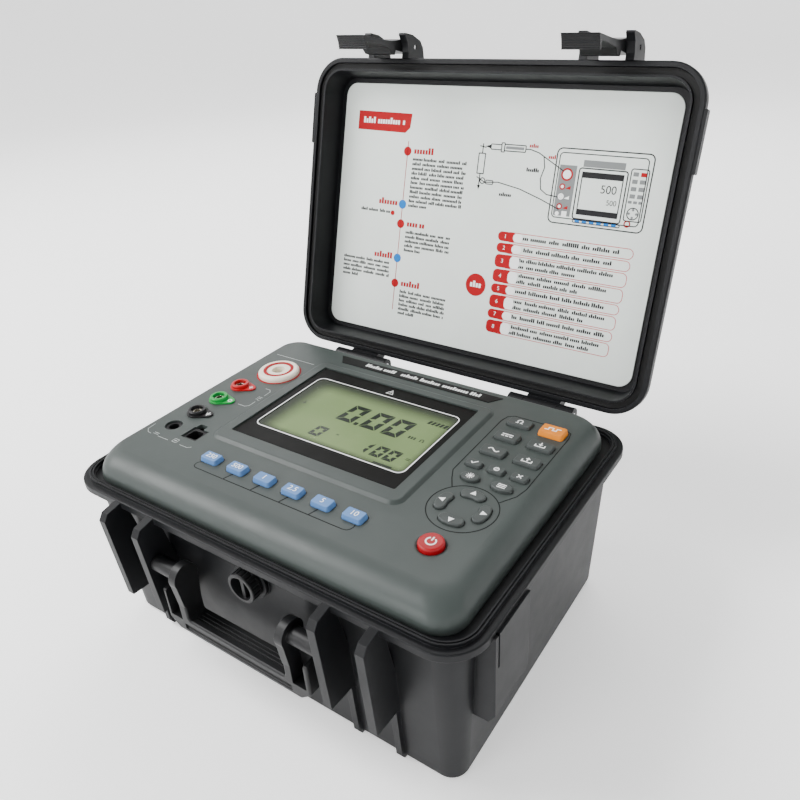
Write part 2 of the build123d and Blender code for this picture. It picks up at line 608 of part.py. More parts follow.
with BuildPart() as dc_jack:
    with BuildSketch(Plane.XY.offset(104.0)):
        with Locations((DC_X, DC_Y)):
            RectangleRounded(13.0, 13.0, 1.5)
    extrude(amount=PANEL_TOP - PANEL_T - 0.1 - 104.0)
    with BuildSketch(Plane.XY.offset(110.0)):
        with Locations((DC_X, DC_Y)):
            Circle(DC_R - 0.1)
    extrude(amount=PANEL_TOP - 1.0 - 110.0)
    with Locations((DC_X, DC_Y, PANEL_TOP)):
        Cylinder(3.3, 2 * 12.0, mode=Mode.SUBTRACT)
    with BuildSketch(Plane.XY.offset(PANEL_TOP - 12.2)):
        with Locations((DC_X, DC_Y)):
            Circle(1.05)
    extrude(amount=6.6)
finish(dc_jack.part, "dc_jack")

with BuildPart() as usb_socket:
    with BuildSketch(Plane.XY.offset(102.0)):
        with Locations((USB_X, USB_Y)):
            Rectangle(USB_W - 0.3, USB_D - 0.3)
    extrude(amount=PANEL_TOP - 0.9 - 102.0)
    # cavity with the two cut corners of a square plug
    with BuildSketch(Plane.XY.offset(PANEL_TOP - 0.9)):
        with Locations((USB_X, USB_Y)):
            usb_mouth = Rectangle(8.6, 8.0)
        chamfer(usb_mouth.vertices().sort_by(Axis.Y)[-2:], 1.6)
    extrude(amount=-10.0, mode=Mode.SUBTRACT)
    with Locations((USB_X, USB_Y, PANEL_TOP - 11.0)):
        Box(5.6, 3.2, 5.4, align=(Align.CENTER, Align.CENTER, Align.MIN))
finish(usb_socket.part, "usb_socket")

# =============================================================================================
# Inside: rubber key mat, boards, high-voltage parts, battery
# =============================================================================================
with BuildPart() as key_mat:
    with BuildSketch(Plane.XY.offset(110.3)):
        rectangle((63.0, 112.5), (-64.0, 70.0), 3)
        rectangle((-68.0, 70.0), (-63.0, -49.0), 2)
    extrude(amount=1.5)
finish(key_mat.part, "key_mat")

with BuildPart() as main_board:
    with BuildSketch(Plane.XY.offset(107.6)):
        rectangle((-68.0, 112.5), (-71.0, 70.5), 2)
        with Locations((-64, 66), (-64, -67), (58, 66), (58, -67)):
            Circle(1.6, mode=Mode.SUBTRACT)
    extrude(amount=1.6)
finish(main_board.part, "main_board")

with BuildPart() as board_screws:
    for x, y in ((-64, 66), (-64, -67), (58, 66), (58, -67)):
        with Locations((x, y, 105.8)):
            Cylinder(2.6, 1.8, align=(Align.CENTER, Align.CENTER, Align.MIN))
            Cylinder(1.25, 8.2, align=(Align.CENTER, Align.CENTER, Align.MIN))
finish(board_screws.part, "board_screws")

with BuildPart() as battery_pack:
    with BuildSketch(Plane.XY.offset(FLOOR_T)):
        rectangle(BATTERY_X, BATTERY_Y, 5)
    extrude(amount=BATTERY_H)
    fillet(battery_pack.faces().sort_by(Axis.Z)[-1].edges(), 3)
finish(battery_pack.part, "battery_pack")

with BuildPart() as power_board:
    with BuildSketch(Plane.XY.offset(16.0)):
        rectangle((-88.0, 22.0), (22.0, 80.0), 2)
    extrude(amount=1.6)
    # moulded standoffs stay with the board
    with BuildSketch(Plane.XY.offset(FLOOR_T)):
        with Locations((-83, 27), (17, 27), (-83, 75), (17, 75)):
            Circle(3)
    extrude(amount=12)
finish(power_board.part, "power_board")

with BuildPart() as hv_transformer:
    with BuildSketch(Plane.XY.offset(17.6)):
        rectangle((-74.0, -34.0), (34.0, 70.0), 1)
    extrude(amount=30)
    with BuildSketch(Plane.XY.offset(17.6 + 6)):
        rectangle((-80.0, -28.0), (41.0, 63.0), 4)
    extrude(amount=18)
finish(hv_transformer.part, "hv_transformer")

with BuildPart() as hv_multiplier:
    with BuildSketch(Plane.XY.offset(FLOOR_T)):
        rectangle(MODULE_X, MODULE_Y, 4)
    extrude(amount=MODULE_H)
    fillet(hv_multiplier.faces().sort_by(Axis.Z)[-1].edges(), 2)
finish(hv_multiplier.part, "hv_multiplier")

with BuildPart() as case_screws:
    for sx in (-1, 1):
        for sy in (-1, 1):
            with Locations((sx * POST_X, sy * POST_Y, 92 - 2.8)):
                Cylinder(3.8, 2.8, align=(Align.CENTER, Align.CENTER, Align.MIN))
                Cylinder(SCREW_R, 20, align=(Align.CENTER, Align.CENTER, Align.MIN))
                Box(5.2, 1.0, 2.4, align=(Align.CENTER, Align.CENTER, Align.CENTER), mode=Mode.SUBTRACT)
                Box(1.0, 5.2, 2.4, align=(Align.CENTER, Align.CENTER, Align.CENTER), mode=Mode.SUBTRACT)
finish(case_screws.part, "case_screws")

# =============================================================================================
# Pressure valve: threaded bush through the wall, seal, and a hollow knob
# =============================================================================================
with BuildPart() as valve_bush:
    with BuildSketch(front(VALVE_BOSS_Y - 0.8)):
        with Locations((VALVE_X, VALVE_Z)):
            Circle(11.0)
    extrude(amount=1.4)
    fillet(valve_bush.faces().sort_by(Axis.Y)[0].edges(), 0.6)
    with BuildSketch(front(VALVE_BOSS_Y - 0.8)):
        with Locations((VALVE_X, VALVE_Z)):
            Circle(6.0)
    extrude(amount=-9.0)
    with BuildSketch(front(VALVE_BOSS_Y + 8.0)):
        with Locations((VALVE_X, VALVE_Z)):
            RegularPolygon(9.5, 6)
            Circle(5.5, mode=Mode.SUBTRACT)
    extrude(amount=3.4)
    with BuildSketch(front(VALVE_BOSS_Y - 2.2)):
        with Locations((VALVE_X, VALVE_Z)):
            Circle(3.55)
    extrude(amount=-12, mode=Mode.SUBTRACT)
finish(valve_bush.part, "valve_bush")

with BuildPart() as valve_seal:
    with BuildSketch(front(VALVE_BOSS_Y)):
        with Locations((VALVE_X, VALVE_Z)):
            Circle(9.6)
            Circle(6.4, mode=Mode.SUBTRACT)
    extrude(amount=0.8)
finish(valve_seal.part, "valve_seal")

with BuildPart() as valve_knob:
    knob_back = VALVE_BOSS_Y - 2.55
    with BuildSketch(front(knob_back)):
        with Locations((VALVE_X, VALVE_Z)):
            Circle(9.0)
    extrude(amount=knob_back - VALVE_FACE_Y)
    fillet(valve_knob.faces().sort_by(Axis.Y)[0].edges(), 0.7)
    with BuildSketch(front(VALVE_FACE_Y)):
        with Locations((VALVE_X, VALVE_Z)):
            Circle(6.9)
    extrude(amount=-5.5, mode=Mode.SUBTRACT)
    # finger web across the hollow
    with BuildSketch(front(VALVE_FACE_Y + 1.6)):
        with Locations((VALVE_X, VALVE_Z)):
            Rectangle(2.2, 14.4)
    extrude(amount=-4.2)
    # stem through the bush
    with BuildSketch(front(knob_back)):
        with Locations((VALVE_X, VALVE_Z)):
            Circle(3.5)
    extrude(amount=-7.5)
    # flutes round the rim
    with BuildSketch(front(knob_back - 1.2)):
        with Locations((VALVE_X, VALVE_Z)):
            with PolarLocations(9.35, 18):
                Circle(0.75)
    extrude(amount=knob_back - VALVE_FACE_Y - 2.4, mode=Mode.SUBTRACT)
finish(valve_knob.part, "valve_knob")

# =============================================================================================
# Carry handle: two deep arms with pivot barrels and a grooved grip bar
# =============================================================================================
ARM_IN = 35.5
with BuildPart() as carry_handle:
    # grip bar with chamfered outer corners
    with BuildSketch(front(GRIP_Y[1])) as bar_profile:
        with BuildLine():
            Polyline(
                (-HANDLE_HALF_W, 66), (-HANDLE_HALF_W, GRIP_Z[0] + 6), (-HANDLE_HALF_W + 7, GRIP_Z[0]),
                (HANDLE_HALF_W - 7, GRIP_Z[0]), (HANDLE_HALF_W, GRIP_Z[0] + 6), (HANDLE_HALF_W, 66),
                (ARM_IN, 66), (ARM_IN, GRIP_Z[1]), (-ARM_IN, GRIP_Z[1]), (-ARM_IN, 66),
                close=True,
            )
        make_face()
        fillet(bar_profile.vertices().filter_by(lambda v: v.Y < 52), 2.2)
    extrude(amount=GRIP_Y[1] - GRIP_Y[0])
    fillet(carry_handle.faces().sort_by(Axis.Y)[0].edges(), 1.2)
    # arm heads round the pivot, with a barrel out to each guard
    for sign in (-1, 1):
        inner, outer = sorted((sign * ARM_IN, sign * (ARM_IN + 5)))
        with BuildSketch(side(inner)):
            with Locations((PIVOT_Y, PIVOT_Z)):
                Circle(8.0)
            with BuildLine():
                Polyline(
                    (GRIP_Y[0], 60), (GRIP_Y[1], 60), (PIVOT_Y + 7.6, PIVOT_Z - 2),
                    (PIVOT_Y, PIVOT_Z + 4), (PIVOT_Y - 7.6, PIVOT_Z - 2),
                    close=True,
                )
            make_face()
        extrude(amount=outer - inner)
        # hollow the arm from the front between its inner plate and outer rim
        with BuildSketch(front(GRIP_Y[0])):
            pocket = sorted((sign * (ARM_IN + 5), sign * (HANDLE_HALF_W - 2.4)))
            rectangle(tuple(pocket), (GRIP_Z[1] - 1.5, 70))
        extrude(amount=-(GRIP_Y[1] - GRIP_Y[0] - 3.0), mode=Mode.SUBTRACT)
        with Locations(Location((sign * 49.5, PIVOT_Y, PIVOT_Z), (0, 90, 0))):
            Cylinder(4.8, 18.0)
    # pin holes from the barrel's end
    for sign in (-1, 1):
        with Locations(Location((sign * 50.0, PIVOT_Y, PIVOT_Z), (0, 90, 0))):
            Cylinder(PIVOT_R + RUNNING, 20.0, mode=Mode.SUBTRACT)
    # long groove down the front of the grip and three in its upper face
    with BuildSketch(side(-ARM_IN - 4)):
        with Locations((GRIP_Y[0], (GRIP_Z[0] + GRIP_Z[1]) / 2 - 0.6)):
            RectangleRounded(2.4, 4.2, 0.9)
    extrude(amount=2 * (ARM_IN + 4), mode=Mode.SUBTRACT)
    with BuildSketch(side(-ARM_IN + 3)):
        with Locations([(GRIP_Y[0] + 4.4 + 2.2 * i, GRIP_Z[1]) for i in range(3)]):
            Rectangle(0.9, 1.4)
    extrude(amount=2 * (ARM_IN - 3), mode=Mode.SUBTRACT)
finish(carry_handle.part, "carry_handle")

with BuildPart() as handle_pins:
    for sign in (-1, 1):
        with Locations(Location((sign * 52.3, PIVOT_Y, PIVOT_Z), (0, 90, 0))):
            Cylinder(PIVOT_R, 21.0)
finish(handle_pins.part, "handle_pins")

with BuildPart() as hinge_pins:
    for x in HINGE_X:
        with Locations(Location((x, HINGE_Y, HINGE_Z), (0, 90, 0))):
            Cylinder(PIN_R, HINGE_W)
            chamfer(hinge_pins.edges().group_by(Axis.X)[0], 0.3)
finish(hinge_pins.part, "hinge_pins")

# =============================================================================================
# Lid: deep rim with a seal groove, drafted shell, shelf for the plate, latch ears, knuckles
# =============================================================================================
with BuildPart() as lid_shell:
    with BuildSketch(LID):
        with Locations(LID_MID):
            RectangleRounded(FLANGE_W, FLANGE_D, FLANGE_R)
    extrude(amount=-RIM_T)
    fillet(lid_shell.edges().group_by(LID_OUT)[-1], 1.0)
    fillet(lid_shell.edges().group_by(LID_OUT)[0], 1.0)
    with BuildSketch(LID.offset(-RIM_T + 0.5)):
        with Locations(LID_MID):
            RectangleRounded(FLANGE_W - 2 * WALL_INSET, FLANGE_D - 2 * WALL_INSET, WALL_R)
    extrude(amount=-(LID_DEPTH - RIM_T + 0.5), taper=LID_DRAFT)
    fillet(lid_shell.faces().sort_by(LID_OUT)[0].edges(), 7.0)
    # cavity down to the shelf, then the closed hollow behind the plate
    with BuildSketch(LID):
        with Locations(LID_MID):
            RectangleRounded(FLANGE_W - 2 * LIP_INSET, FLANGE_D - 2 * LIP_INSET, 13.5)
    extrude(amount=-(PLATE_DROP + PLATE_T), taper=7, mode=Mode.SUBTRACT)
    with BuildSketch(LID.offset(-PLATE_DROP)):
        with Locations(LID_MID):
            RectangleRounded(FLANGE_W - 2 * SHELF_INSET, FLANGE_D - 2 * SHELF_INSET, 8)
    extrude(amount=-(LID_DEPTH - LID_WALL_T - PLATE_DROP), taper=3, mode=Mode.SUBTRACT)
    # seal groove
    with BuildSketch(LID):
        with Locations(LID_MID):
            RectangleRounded(FLANGE_W - 2 * 3.2, FLANGE_D - 2 * 3.2, FLANGE_R - 3.2)
            RectangleRounded(FLANGE_W - 2 * 7.2, FLANGE_D - 2 * 7.2, FLANGE_R - 7.2, mode=Mode.SUBTRACT)
    extrude(amount=-4.0, mode=Mode.SUBTRACT)
    # latch ears, in line with the guards on the base
    for x in GUARD_X:
        with BuildSketch(lid_side(x - EAR_T / 2)):
            with BuildLine():
                # the tip hangs past the rim, clear of the guard's sloping top
                Polyline(
                    (1.0, FLANGE_D - 2.4), (1.0, FLANGE_D + 3.6), (-1.6, FLANGE_D + 9.2),
                    (-5.2, FLANGE_D + 13.0), (-4.8, FLANGE_D + 14.2), (4.0, FLANGE_D + 14.6),
                    (13.5, FLANGE_D + 12.8), (17.6, FLANGE_D + 9.4), (20.2, FLANGE_D + 3.0),
                    (27.0, FLANGE_D - WALL_INSET - 2.4), (5.4, FLANGE_D - WALL_INSET - 1.6),
                    (5.4, FLANGE_D - 2.4),
                    close=True,
                )
            make_face()
        extrude(amount=EAR_T)
    for x in LATCH_X:
        with Locations(LID * Location((x, LATCH_PIVOT_V, -LATCH_PIVOT_W), (0, 90, 0))):
            Cylinder(LATCH_PIN_R + 0.02, LATCH_W + 2 * EAR_T + 4, mode=Mode.SUBTRACT)
    # side bumps over the base's pads
    for sign in (-1, 1):
        with BuildSketch(LID.offset(-0.4)):
            with Locations((sign * (PAD_X - 2.0), FLANGE_D / 2 - sum(PAD_Y) / 2)):
                RectangleRounded(4.0, PAD_Y[1] - PAD_Y[0], 0.8)
        extrude(amount=-RIM_T + 1.0)
    # hinge knuckles
    hinge_in = LID.to_local_coords(Vector(0, HINGE_Y, HINGE_Z))
    for x in HINGE_X:
        with BuildSketch(lid_side(x - LID_KNUCKLE_W / 2)):
            with Locations((-hinge_in.Z, hinge_in.Y)):
                Circle(KNUCKLE_R)
            with BuildLine():
                Polyline(
                    (1.2, 2.0), (1.2, 0.0), (-hinge_in.Z - 1.5, hinge_in.Y + 3.0),
                    (-hinge_in.Z + 1.5, hinge_in.Y - 4.9), (-hinge_in.Z + 7.0, hinge_in.Y - 3.5),
                    (RIM_T + 12.0, WALL_INSET + 1.4), (5.4, WALL_INSET + 1.4), (5.4, 2.0),
                    close=True,
                )
            make_face()
        extrude(amount=LID_KNUCKLE_W)
        with Locations(LID * Location((x, hinge_in.Y, hinge_in.Z), (0, 90, 0))):
            Cylinder(PIN_R + RUNNING, LID_KNUCKLE_W + 2, mode=Mode.SUBTRACT)
finish(lid_shell.part, "lid_shell")

with BuildPart() as lid_seal:
    with BuildSketch(LID.offset(-2.1)):
        with Locations(LID_MID):
            RectangleRounded(FLANGE_W - 2 * 3.4, FLANGE_D - 2 * 3.4, FLANGE_R - 3.4)
            RectangleRounded(FLANGE_W - 2 * 7.0, FLANGE_D - 2 * 7.0, FLANGE_R - 7.0, mode=Mode.SUBTRACT)
    extrude(amount=-1.9)
finish(lid_seal.part, "lid_seal")

with BuildPart() as instruction_plate:
    with BuildSketch(LID.offset(-PLATE_DROP)):
        with Locations(LID_MID):
            RectangleRounded(PLATE_W, PLATE_D, PLATE_R)
    extrude(amount=-PLATE_T)
    fillet(instruction_plate.edges().group_by(LID_OUT)[-1], 0.4)
finish(instruction_plate.part, "instruction_plate")

with BuildPart() as latch_pins:
    for x in LATCH_X:
        with Locations(LID * Location((x, LATCH_PIVOT_V, -LATCH_PIVOT_W), (0, 90, 0))):
            Cylinder(LATCH_PIN_R, LATCH_W + 2 * EAR_T)
finish(latch_pins.part, "latch_pins")


# =============================================================================================
# Latches: a barrel between the ears, a hook for the flange and a flared tail
# =============================================================================================
def latch_plane(x):
    """Side plane at a latch's pivot: local x runs down the latch, local y stands out from the case."""
    pivot = LID.from_local_coords((x, LATCH_PIVOT_V, -LATCH_PIVOT_W))
    turn = radians(LATCH_REST)
    down = LID.z_dir * cos(turn) + LID.y_dir * sin(turn)
    return Plane(origin=pivot, x_dir=down, z_dir=(-1, 0, 0))


BARREL_TOP, BARREL_BACK, BARREL_LOW = (-0.4, 4.2), (-4.15, -0.4), (-0.6, -4.15)
LIP, FLAP_MID, FLAP_END = (49.8, -9.6), (46.93, -12.76), (44.7, -16.4)
GRIP_GROOVES = 7
for name, x in zip(("latch_left", "latch_right"), LATCH_X):
    with BuildPart() as latch:
        with BuildSketch(latch_plane(x + LATCH_W / 2)):
            with BuildLine():
                # outer face, from the barrel to the sharp lip
                Spline(BARREL_TOP, (7.2, 2.7), (14.0, -0.4), (24.9, -4.1), (35.3, -6.5), (42.8, -8.1), LIP)
                # grip flap, turned in towards the case
                flap = ThreePointArc(LIP, FLAP_MID, FLAP_END)
                # inner face back to the hook that goes under the flange
                Polyline(FLAP_END, (42.6, -15.5), (44.4, -11.9))
                Spline((44.4, -11.9), (41.6, -11.0), (32.0, -9.2), (22.4, -7.7))
                Polyline((22.4, -7.7), (17.4, -10.1), (13.85, -9.55), (13.7, -6.5), (9.7, -5.8), BARREL_LOW)
                ThreePointArc(BARREL_LOW, BARREL_BACK, BARREL_TOP)
            make_face()
            Circle(LATCH_PIN_R + RUNNING, mode=Mode.SUBTRACT)
            with Locations(*[flap @ ((i + 0.9) / (GRIP_GROOVES + 0.6)) for i in range(GRIP_GROOVES)]):
                Circle(0.34, mode=Mode.SUBTRACT)
        extrude(amount=LATCH_W)
    finish(latch.part, name)
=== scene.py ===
"""Looks for the insulation resistance tester: materials, printed panels, legends, display and studio."""

import math
import random

import bmesh
import bpy
from mathutils import Matrix, Vector


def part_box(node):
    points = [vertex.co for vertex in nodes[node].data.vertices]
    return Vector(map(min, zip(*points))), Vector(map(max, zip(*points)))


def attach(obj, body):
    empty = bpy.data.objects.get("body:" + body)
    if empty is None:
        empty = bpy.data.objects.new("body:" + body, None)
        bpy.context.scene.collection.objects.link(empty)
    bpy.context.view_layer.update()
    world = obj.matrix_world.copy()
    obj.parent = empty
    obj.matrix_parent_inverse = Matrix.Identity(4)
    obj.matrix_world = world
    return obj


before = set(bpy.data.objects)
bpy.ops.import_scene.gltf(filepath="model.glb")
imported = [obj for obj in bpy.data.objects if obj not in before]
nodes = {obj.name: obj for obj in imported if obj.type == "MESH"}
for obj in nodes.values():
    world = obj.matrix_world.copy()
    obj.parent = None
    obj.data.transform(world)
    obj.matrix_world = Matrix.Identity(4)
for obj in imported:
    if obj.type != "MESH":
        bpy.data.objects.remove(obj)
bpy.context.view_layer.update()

MM = 0.001
PRINT_T = 0.06 * MM          # how far a print stands over its surface
PRINT_SINK = 0.03 * MM       # how far it is let in


# =============================================================================================
# Materials
# =============================================================================================
def link(tree, source, target):
    tree.links.new(source, target)


def new_node(tree, kind, **settings):
    made = tree.nodes.new(kind)
    for key, value in settings.items():
        if key.startswith("in_"):
            made.inputs[key[3:].replace("_", " ")].default_value = value
        else:
            setattr(made, key, value)
    return made


def noise(tree, coords, scale, detail=3.0, roughness=0.5):
    made = new_node(tree, "ShaderNodeTexNoise", in_Scale=scale, in_Detail=detail, in_Roughness=roughness)
    link(tree, coords.outputs["Object"], made.inputs["Vector"])
    return made


def ramp(tree, source, low, high, start=0.0, end=1.0):
    """Maps source, from start to end, to a number from low to high."""
    made = new_node(tree, "ShaderNodeMapRange")
    made.inputs["From Min"].default_value = start
    made.inputs["From Max"].default_value = end
    made.inputs["To Min"].default_value = low
    made.inputs["To Max"].default_value = high
    link(tree, source, made.inputs["Value"])
    return made.outputs["Result"]


def mix_colour(tree, factor, first, second):
    """Mixes two colours, each a fixed colour or a socket. The Mix node's colour sockets go by number."""
    factor_in, first_in, second_in, colour_out = 0, 6, 7, 2
    made = new_node(tree, "ShaderNodeMix", data_type="RGBA")
    link(tree, factor, made.inputs[factor_in])
    for index, value in ((first_in, first), (second_in, second)):
        if isinstance(value, tuple):
            made.inputs[index].default_value = value
        else:
            link(tree, value, made.inputs[index])
    return made.outputs[colour_out]


def rgba(colour, factor=1.0):
    return (colour[0] * factor, colour[1] * factor, colour[2] * factor, 1.0)


def surface(name, colour, roughness, grain_mm, grain_depth_mm, mottle, edge_mm, edge_wear_and_highlight, rough_spread,
            metallic=0.0, specular=0.5):
    """A moulded, printed or metal surface: fine grain, soft colour mottle, edges lightened partly by wear
    and partly as a painted highlight, and uneven gloss.
    """
    made = bpy.data.materials.new(name)
    made.use_nodes = True
    tree = made.node_tree
    shader = tree.nodes["Principled BSDF"]
    shader.inputs["Metallic"].default_value = metallic
    shader.inputs["Specular IOR Level"].default_value = specular
    coords = new_node(tree, "ShaderNodeTexCoord")
    cloud = noise(tree, coords, 22.0, 5.0, 0.6)
    body = mix_colour(tree, ramp(tree, cloud.outputs["Fac"], 0.0, 1.0, 0.3, 0.7),
                      rgba(colour, 1.0 - mottle), rgba(colour, 1.0 + mottle))
    # edges: where the rounded normal leaves the true one, the colour is lighter, partly rubbed wear and
    # partly a painted highlight
    bevel = new_node(tree, "ShaderNodeBevel", samples=4, in_Radius=edge_mm * MM)
    geometry = new_node(tree, "ShaderNodeNewGeometry")
    facing = new_node(tree, "ShaderNodeVectorMath", operation="DOT_PRODUCT")
    link(tree, bevel.outputs["Normal"], facing.inputs[0])
    link(tree, geometry.outputs["Normal"], facing.inputs[1])
    rubbed_and_highlit = ramp(tree, facing.outputs["Value"], 0.85, 0.0, 0.80, 0.985)
    body = mix_colour(tree, rubbed_and_highlit, body, rgba(colour, edge_wear_and_highlight))
    link(tree, body, shader.inputs["Base Color"])
    # gloss varies with handling
    wipe = noise(tree, coords, 55.0, 6.0, 0.65)
    gloss = ramp(tree, wipe.outputs["Fac"], roughness - rough_spread, roughness + rough_spread, 0.3, 0.7)
    link(tree, gloss, shader.inputs["Roughness"])
    grain = noise(tree, coords, 1.0 / (grain_mm * MM), 2.0, 0.6)
    bump = new_node(tree, "ShaderNodeBump", in_Strength=0.6, in_Distance=grain_depth_mm * MM)
    link(tree, grain.outputs["Fac"], bump.inputs["Height"])
    link(tree, bevel.outputs["Normal"], bump.inputs["Normal"])
    link(tree, bump.outputs["Normal"], shader.inputs["Normal"])
    return made


CASE = surface(
    "case_black", (0.0046, 0.0049, 0.0058), roughness=0.44, rough_spread=0.03, specular=0.17,
    grain_mm=0.45, grain_depth_mm=0.020, mottle=0.12, edge_mm=0.45, edge_wear_and_highlight=2.8,
)
HANDLE = surface(
    "handle_black", (0.0058, 0.0060, 0.0066), roughness=0.42, rough_spread=0.03, specular=0.22,
    grain_mm=0.40, grain_depth_mm=0.014, mottle=0.12, edge_mm=0.40, edge_wear_and_highlight=3.0,
)
PANEL = surface(
    "panel_grey", (0.0385, 0.0475, 0.0445), roughness=0.44, rough_spread=0.04, specular=0.28,
    grain_mm=0.30, grain_depth_mm=0.010, mottle=0.05, edge_mm=0.40, edge_wear_and_highlight=1.15,
)
KEY_GREY = surface(
    "key_grey", (0.043, 0.050, 0.048), roughness=0.50, rough_spread=0.05, specular=0.28,
    grain_mm=0.25, grain_depth_mm=0.010, mottle=0.05, edge_mm=0.30, edge_wear_and_highlight=1.35,
)
KEY_BLUE = surface(
    "key_blue", (0.080, 0.182, 0.40), roughness=0.42, rough_spread=0.05, specular=0.35,
    grain_mm=0.25, grain_depth_mm=0.008, mottle=0.04, edge_mm=0.30, edge_wear_and_highlight=1.20,
)
KEY_ORANGE = surface(
    "key_orange", (0.66, 0.200, 0.010), roughness=0.44, rough_spread=0.05, specular=0.2,
    grain_mm=0.25, grain_depth_mm=0.008, mottle=0.04, edge_mm=0.30, edge_wear_and_highlight=1.18,
)
KEY_RED = surface(
    "key_red", (0.29, 0.002, 0.007), roughness=0.36, rough_spread=0.05, specular=0.25,
    grain_mm=0.25, grain_depth_mm=0.006, mottle=0.04, edge_mm=0.30, edge_wear_and_highlight=1.20,
)
BEZEL = surface(
    "bezel_black", (0.0040, 0.0039, 0.0036), roughness=0.50, rough_spread=0.04, specular=0.08,
    grain_mm=0.60, grain_depth_mm=0.003, mottle=0.06, edge_mm=0.20, edge_wear_and_highlight=1.8,
)
STRIP = surface(
    "strip_black", (0.0040, 0.0040, 0.0040), roughness=0.46, rough_spread=0.04, specular=0.12,
    grain_mm=0.40, grain_depth_mm=0.003, mottle=0.06, edge_mm=0.15, edge_wear_and_highlight=1.8,
)
PLATE = surface(
    "plate_white", (0.62, 0.665, 0.630), roughness=0.40, rough_spread=0.06, specular=0.3,
    grain_mm=0.50, grain_depth_mm=0.004, mottle=0.03, edge_mm=0.20, edge_wear_and_highlight=1.05,
)
SOCKET_RED = surface(
    "socket_red", (0.40, 0.003, 0.007), roughness=0.32, rough_spread=0.05, specular=0.25,
    grain_mm=0.40, grain_depth_mm=0.004, mottle=0.05, edge_mm=0.30, edge_wear_and_highlight=1.15,
)
SOCKET_GREEN = surface(
    "socket_green", (0.004, 0.26, 0.04), roughness=0.32, rough_spread=0.05, specular=0.25,
    grain_mm=0.40, grain_depth_mm=0.004, mottle=0.05, edge_mm=0.30, edge_wear_and_highlight=1.15,
)
SOCKET_BLACK = surface(
    "socket_black", (0.006, 0.006, 0.0065), roughness=0.34, rough_spread=0.05, specular=0.22,
    grain_mm=0.40, grain_depth_mm=0.004, mottle=0.08, edge_mm=0.30, edge_wear_and_highlight=2.4,
)
HV_WHITE = surface(
    "hv_white", (0.80, 0.73, 0.61), roughness=0.34, rough_spread=0.05,
    grain_mm=0.40, grain_depth_mm=0.004, mottle=0.03, edge_mm=0.35, edge_wear_and_highlight=1.04,
)
CONNECTOR = surface(
    "connector_black", (0.0055, 0.0055, 0.006), roughness=0.44, rough_spread=0.05, specular=0.2,
    grain_mm=0.40, grain_depth_mm=0.006, mottle=0.08, edge_mm=0.25, edge_wear_and_highlight=2.4,
)
RUBBER = surface(
    "seal_rubber", (0.009, 0.009, 0.009), roughness=0.72, rough_spread=0.06, specular=0.2,
    grain_mm=0.30, grain_depth_mm=0.020, mottle=0.15, edge_mm=0.20, edge_wear_and_highlight=1.6,
)
MAT = surface(
    "mat_rubber", (0.10, 0.10, 0.105), roughness=0.62, rough_spread=0.05,
    grain_mm=0.30, grain_depth_mm=0.015, mottle=0.08, edge_mm=0.25, edge_wear_and_highlight=1.2,
)
BOARD = surface(
    "board_green", (0.012, 0.13, 0.05), roughness=0.34, rough_spread=0.05,
    grain_mm=0.80, grain_depth_mm=0.008, mottle=0.12, edge_mm=0.15, edge_wear_and_highlight=1.3,
)
WRAP = surface(
    "battery_wrap", (0.05, 0.09, 0.34), roughness=0.30, rough_spread=0.06,
    grain_mm=2.50, grain_depth_mm=0.050, mottle=0.08, edge_mm=0.60, edge_wear_and_highlight=1.2,
)
POTTING = surface(
    "potting", (0.02, 0.02, 0.022), roughness=0.55, rough_spread=0.06,
    grain_mm=1.20, grain_depth_mm=0.050, mottle=0.15, edge_mm=0.40, edge_wear_and_highlight=1.6,
)
TAPE = surface(
    "coil_tape", (0.45, 0.27, 0.03), roughness=0.35, rough_spread=0.06,
    grain_mm=1.00, grain_depth_mm=0.020, mottle=0.12, edge_mm=0.30, edge_wear_and_highlight=1.2,
)
STEEL = surface(
    "pin_steel", (0.56, 0.56, 0.57), roughness=0.26, rough_spread=0.06, metallic=1.0,
    grain_mm=0.20, grain_depth_mm=0.004, mottle=0.05, edge_mm=0.20, edge_wear_and_highlight=1.1,
)
PLATED = surface(
    "plated_contact", (0.72, 0.68, 0.58), roughness=0.24, rough_spread=0.05, metallic=1.0,
    grain_mm=0.20, grain_depth_mm=0.003, mottle=0.05, edge_mm=0.15, edge_wear_and_highlight=1.1,
)
LIGHT_GUIDE = surface(
    "light_guide", (0.80, 0.82, 0.80), roughness=0.38, rough_spread=0.04,
    grain_mm=0.50, grain_depth_mm=0.006, mottle=0.03, edge_mm=0.20, edge_wear_and_highlight=1.05,
)
SEGMENT = surface(
    "lcd_segment", (0.004, 0.008, 0.004), roughness=0.30, rough_spread=0.04, specular=0.2,
    grain_mm=0.20, grain_depth_mm=0.002, mottle=0.05, edge_mm=0.05, edge_wear_and_highlight=1.0,
)


def ink(name, colour, roughness, specular, mottle=0.05, edge_wear_and_highlight=1.0):
    """A printed colour: a surface whose grain and edges are those of a thin film."""
    return surface(
        name, colour, roughness, rough_spread=0.05, specular=specular,
        grain_mm=0.20, grain_depth_mm=0.003, mottle=mottle, edge_mm=0.05, edge_wear_and_highlight=edge_wear_and_highlight,
    )


INK_WHITE = ink("ink_white", (0.80, 0.81, 0.80), roughness=0.42, specular=0.3, mottle=0.04)
INK_GREY = ink("ink_grey", (0.34, 0.36, 0.35), roughness=0.46, specular=0.2)
INK_DARK = ink("ink_dark", (0.004, 0.005, 0.005), roughness=0.48, specular=0.12, edge_wear_and_highlight=1.2)
INK_TEXT = ink("ink_text", (0.010, 0.010, 0.011), roughness=0.50, specular=0.12, mottle=0.10)
# red ink for prints, used also for the painted red reflection round the high-voltage socket
RED_INK_AND_REFLECTION = ink("red_ink_and_reflection", (0.30, 0.002, 0.006), roughness=0.46, specular=0.10)
INK_PINK = ink("ink_pink", (0.46, 0.035, 0.05), roughness=0.46, specular=0.10)
INK_BLUE = ink("ink_blue", (0.002, 0.13, 0.42), roughness=0.46, specular=0.10)
INK_SHADE = ink("ink_shade", (0.14, 0.15, 0.15), roughness=0.44, specular=0.3, mottle=0.06)


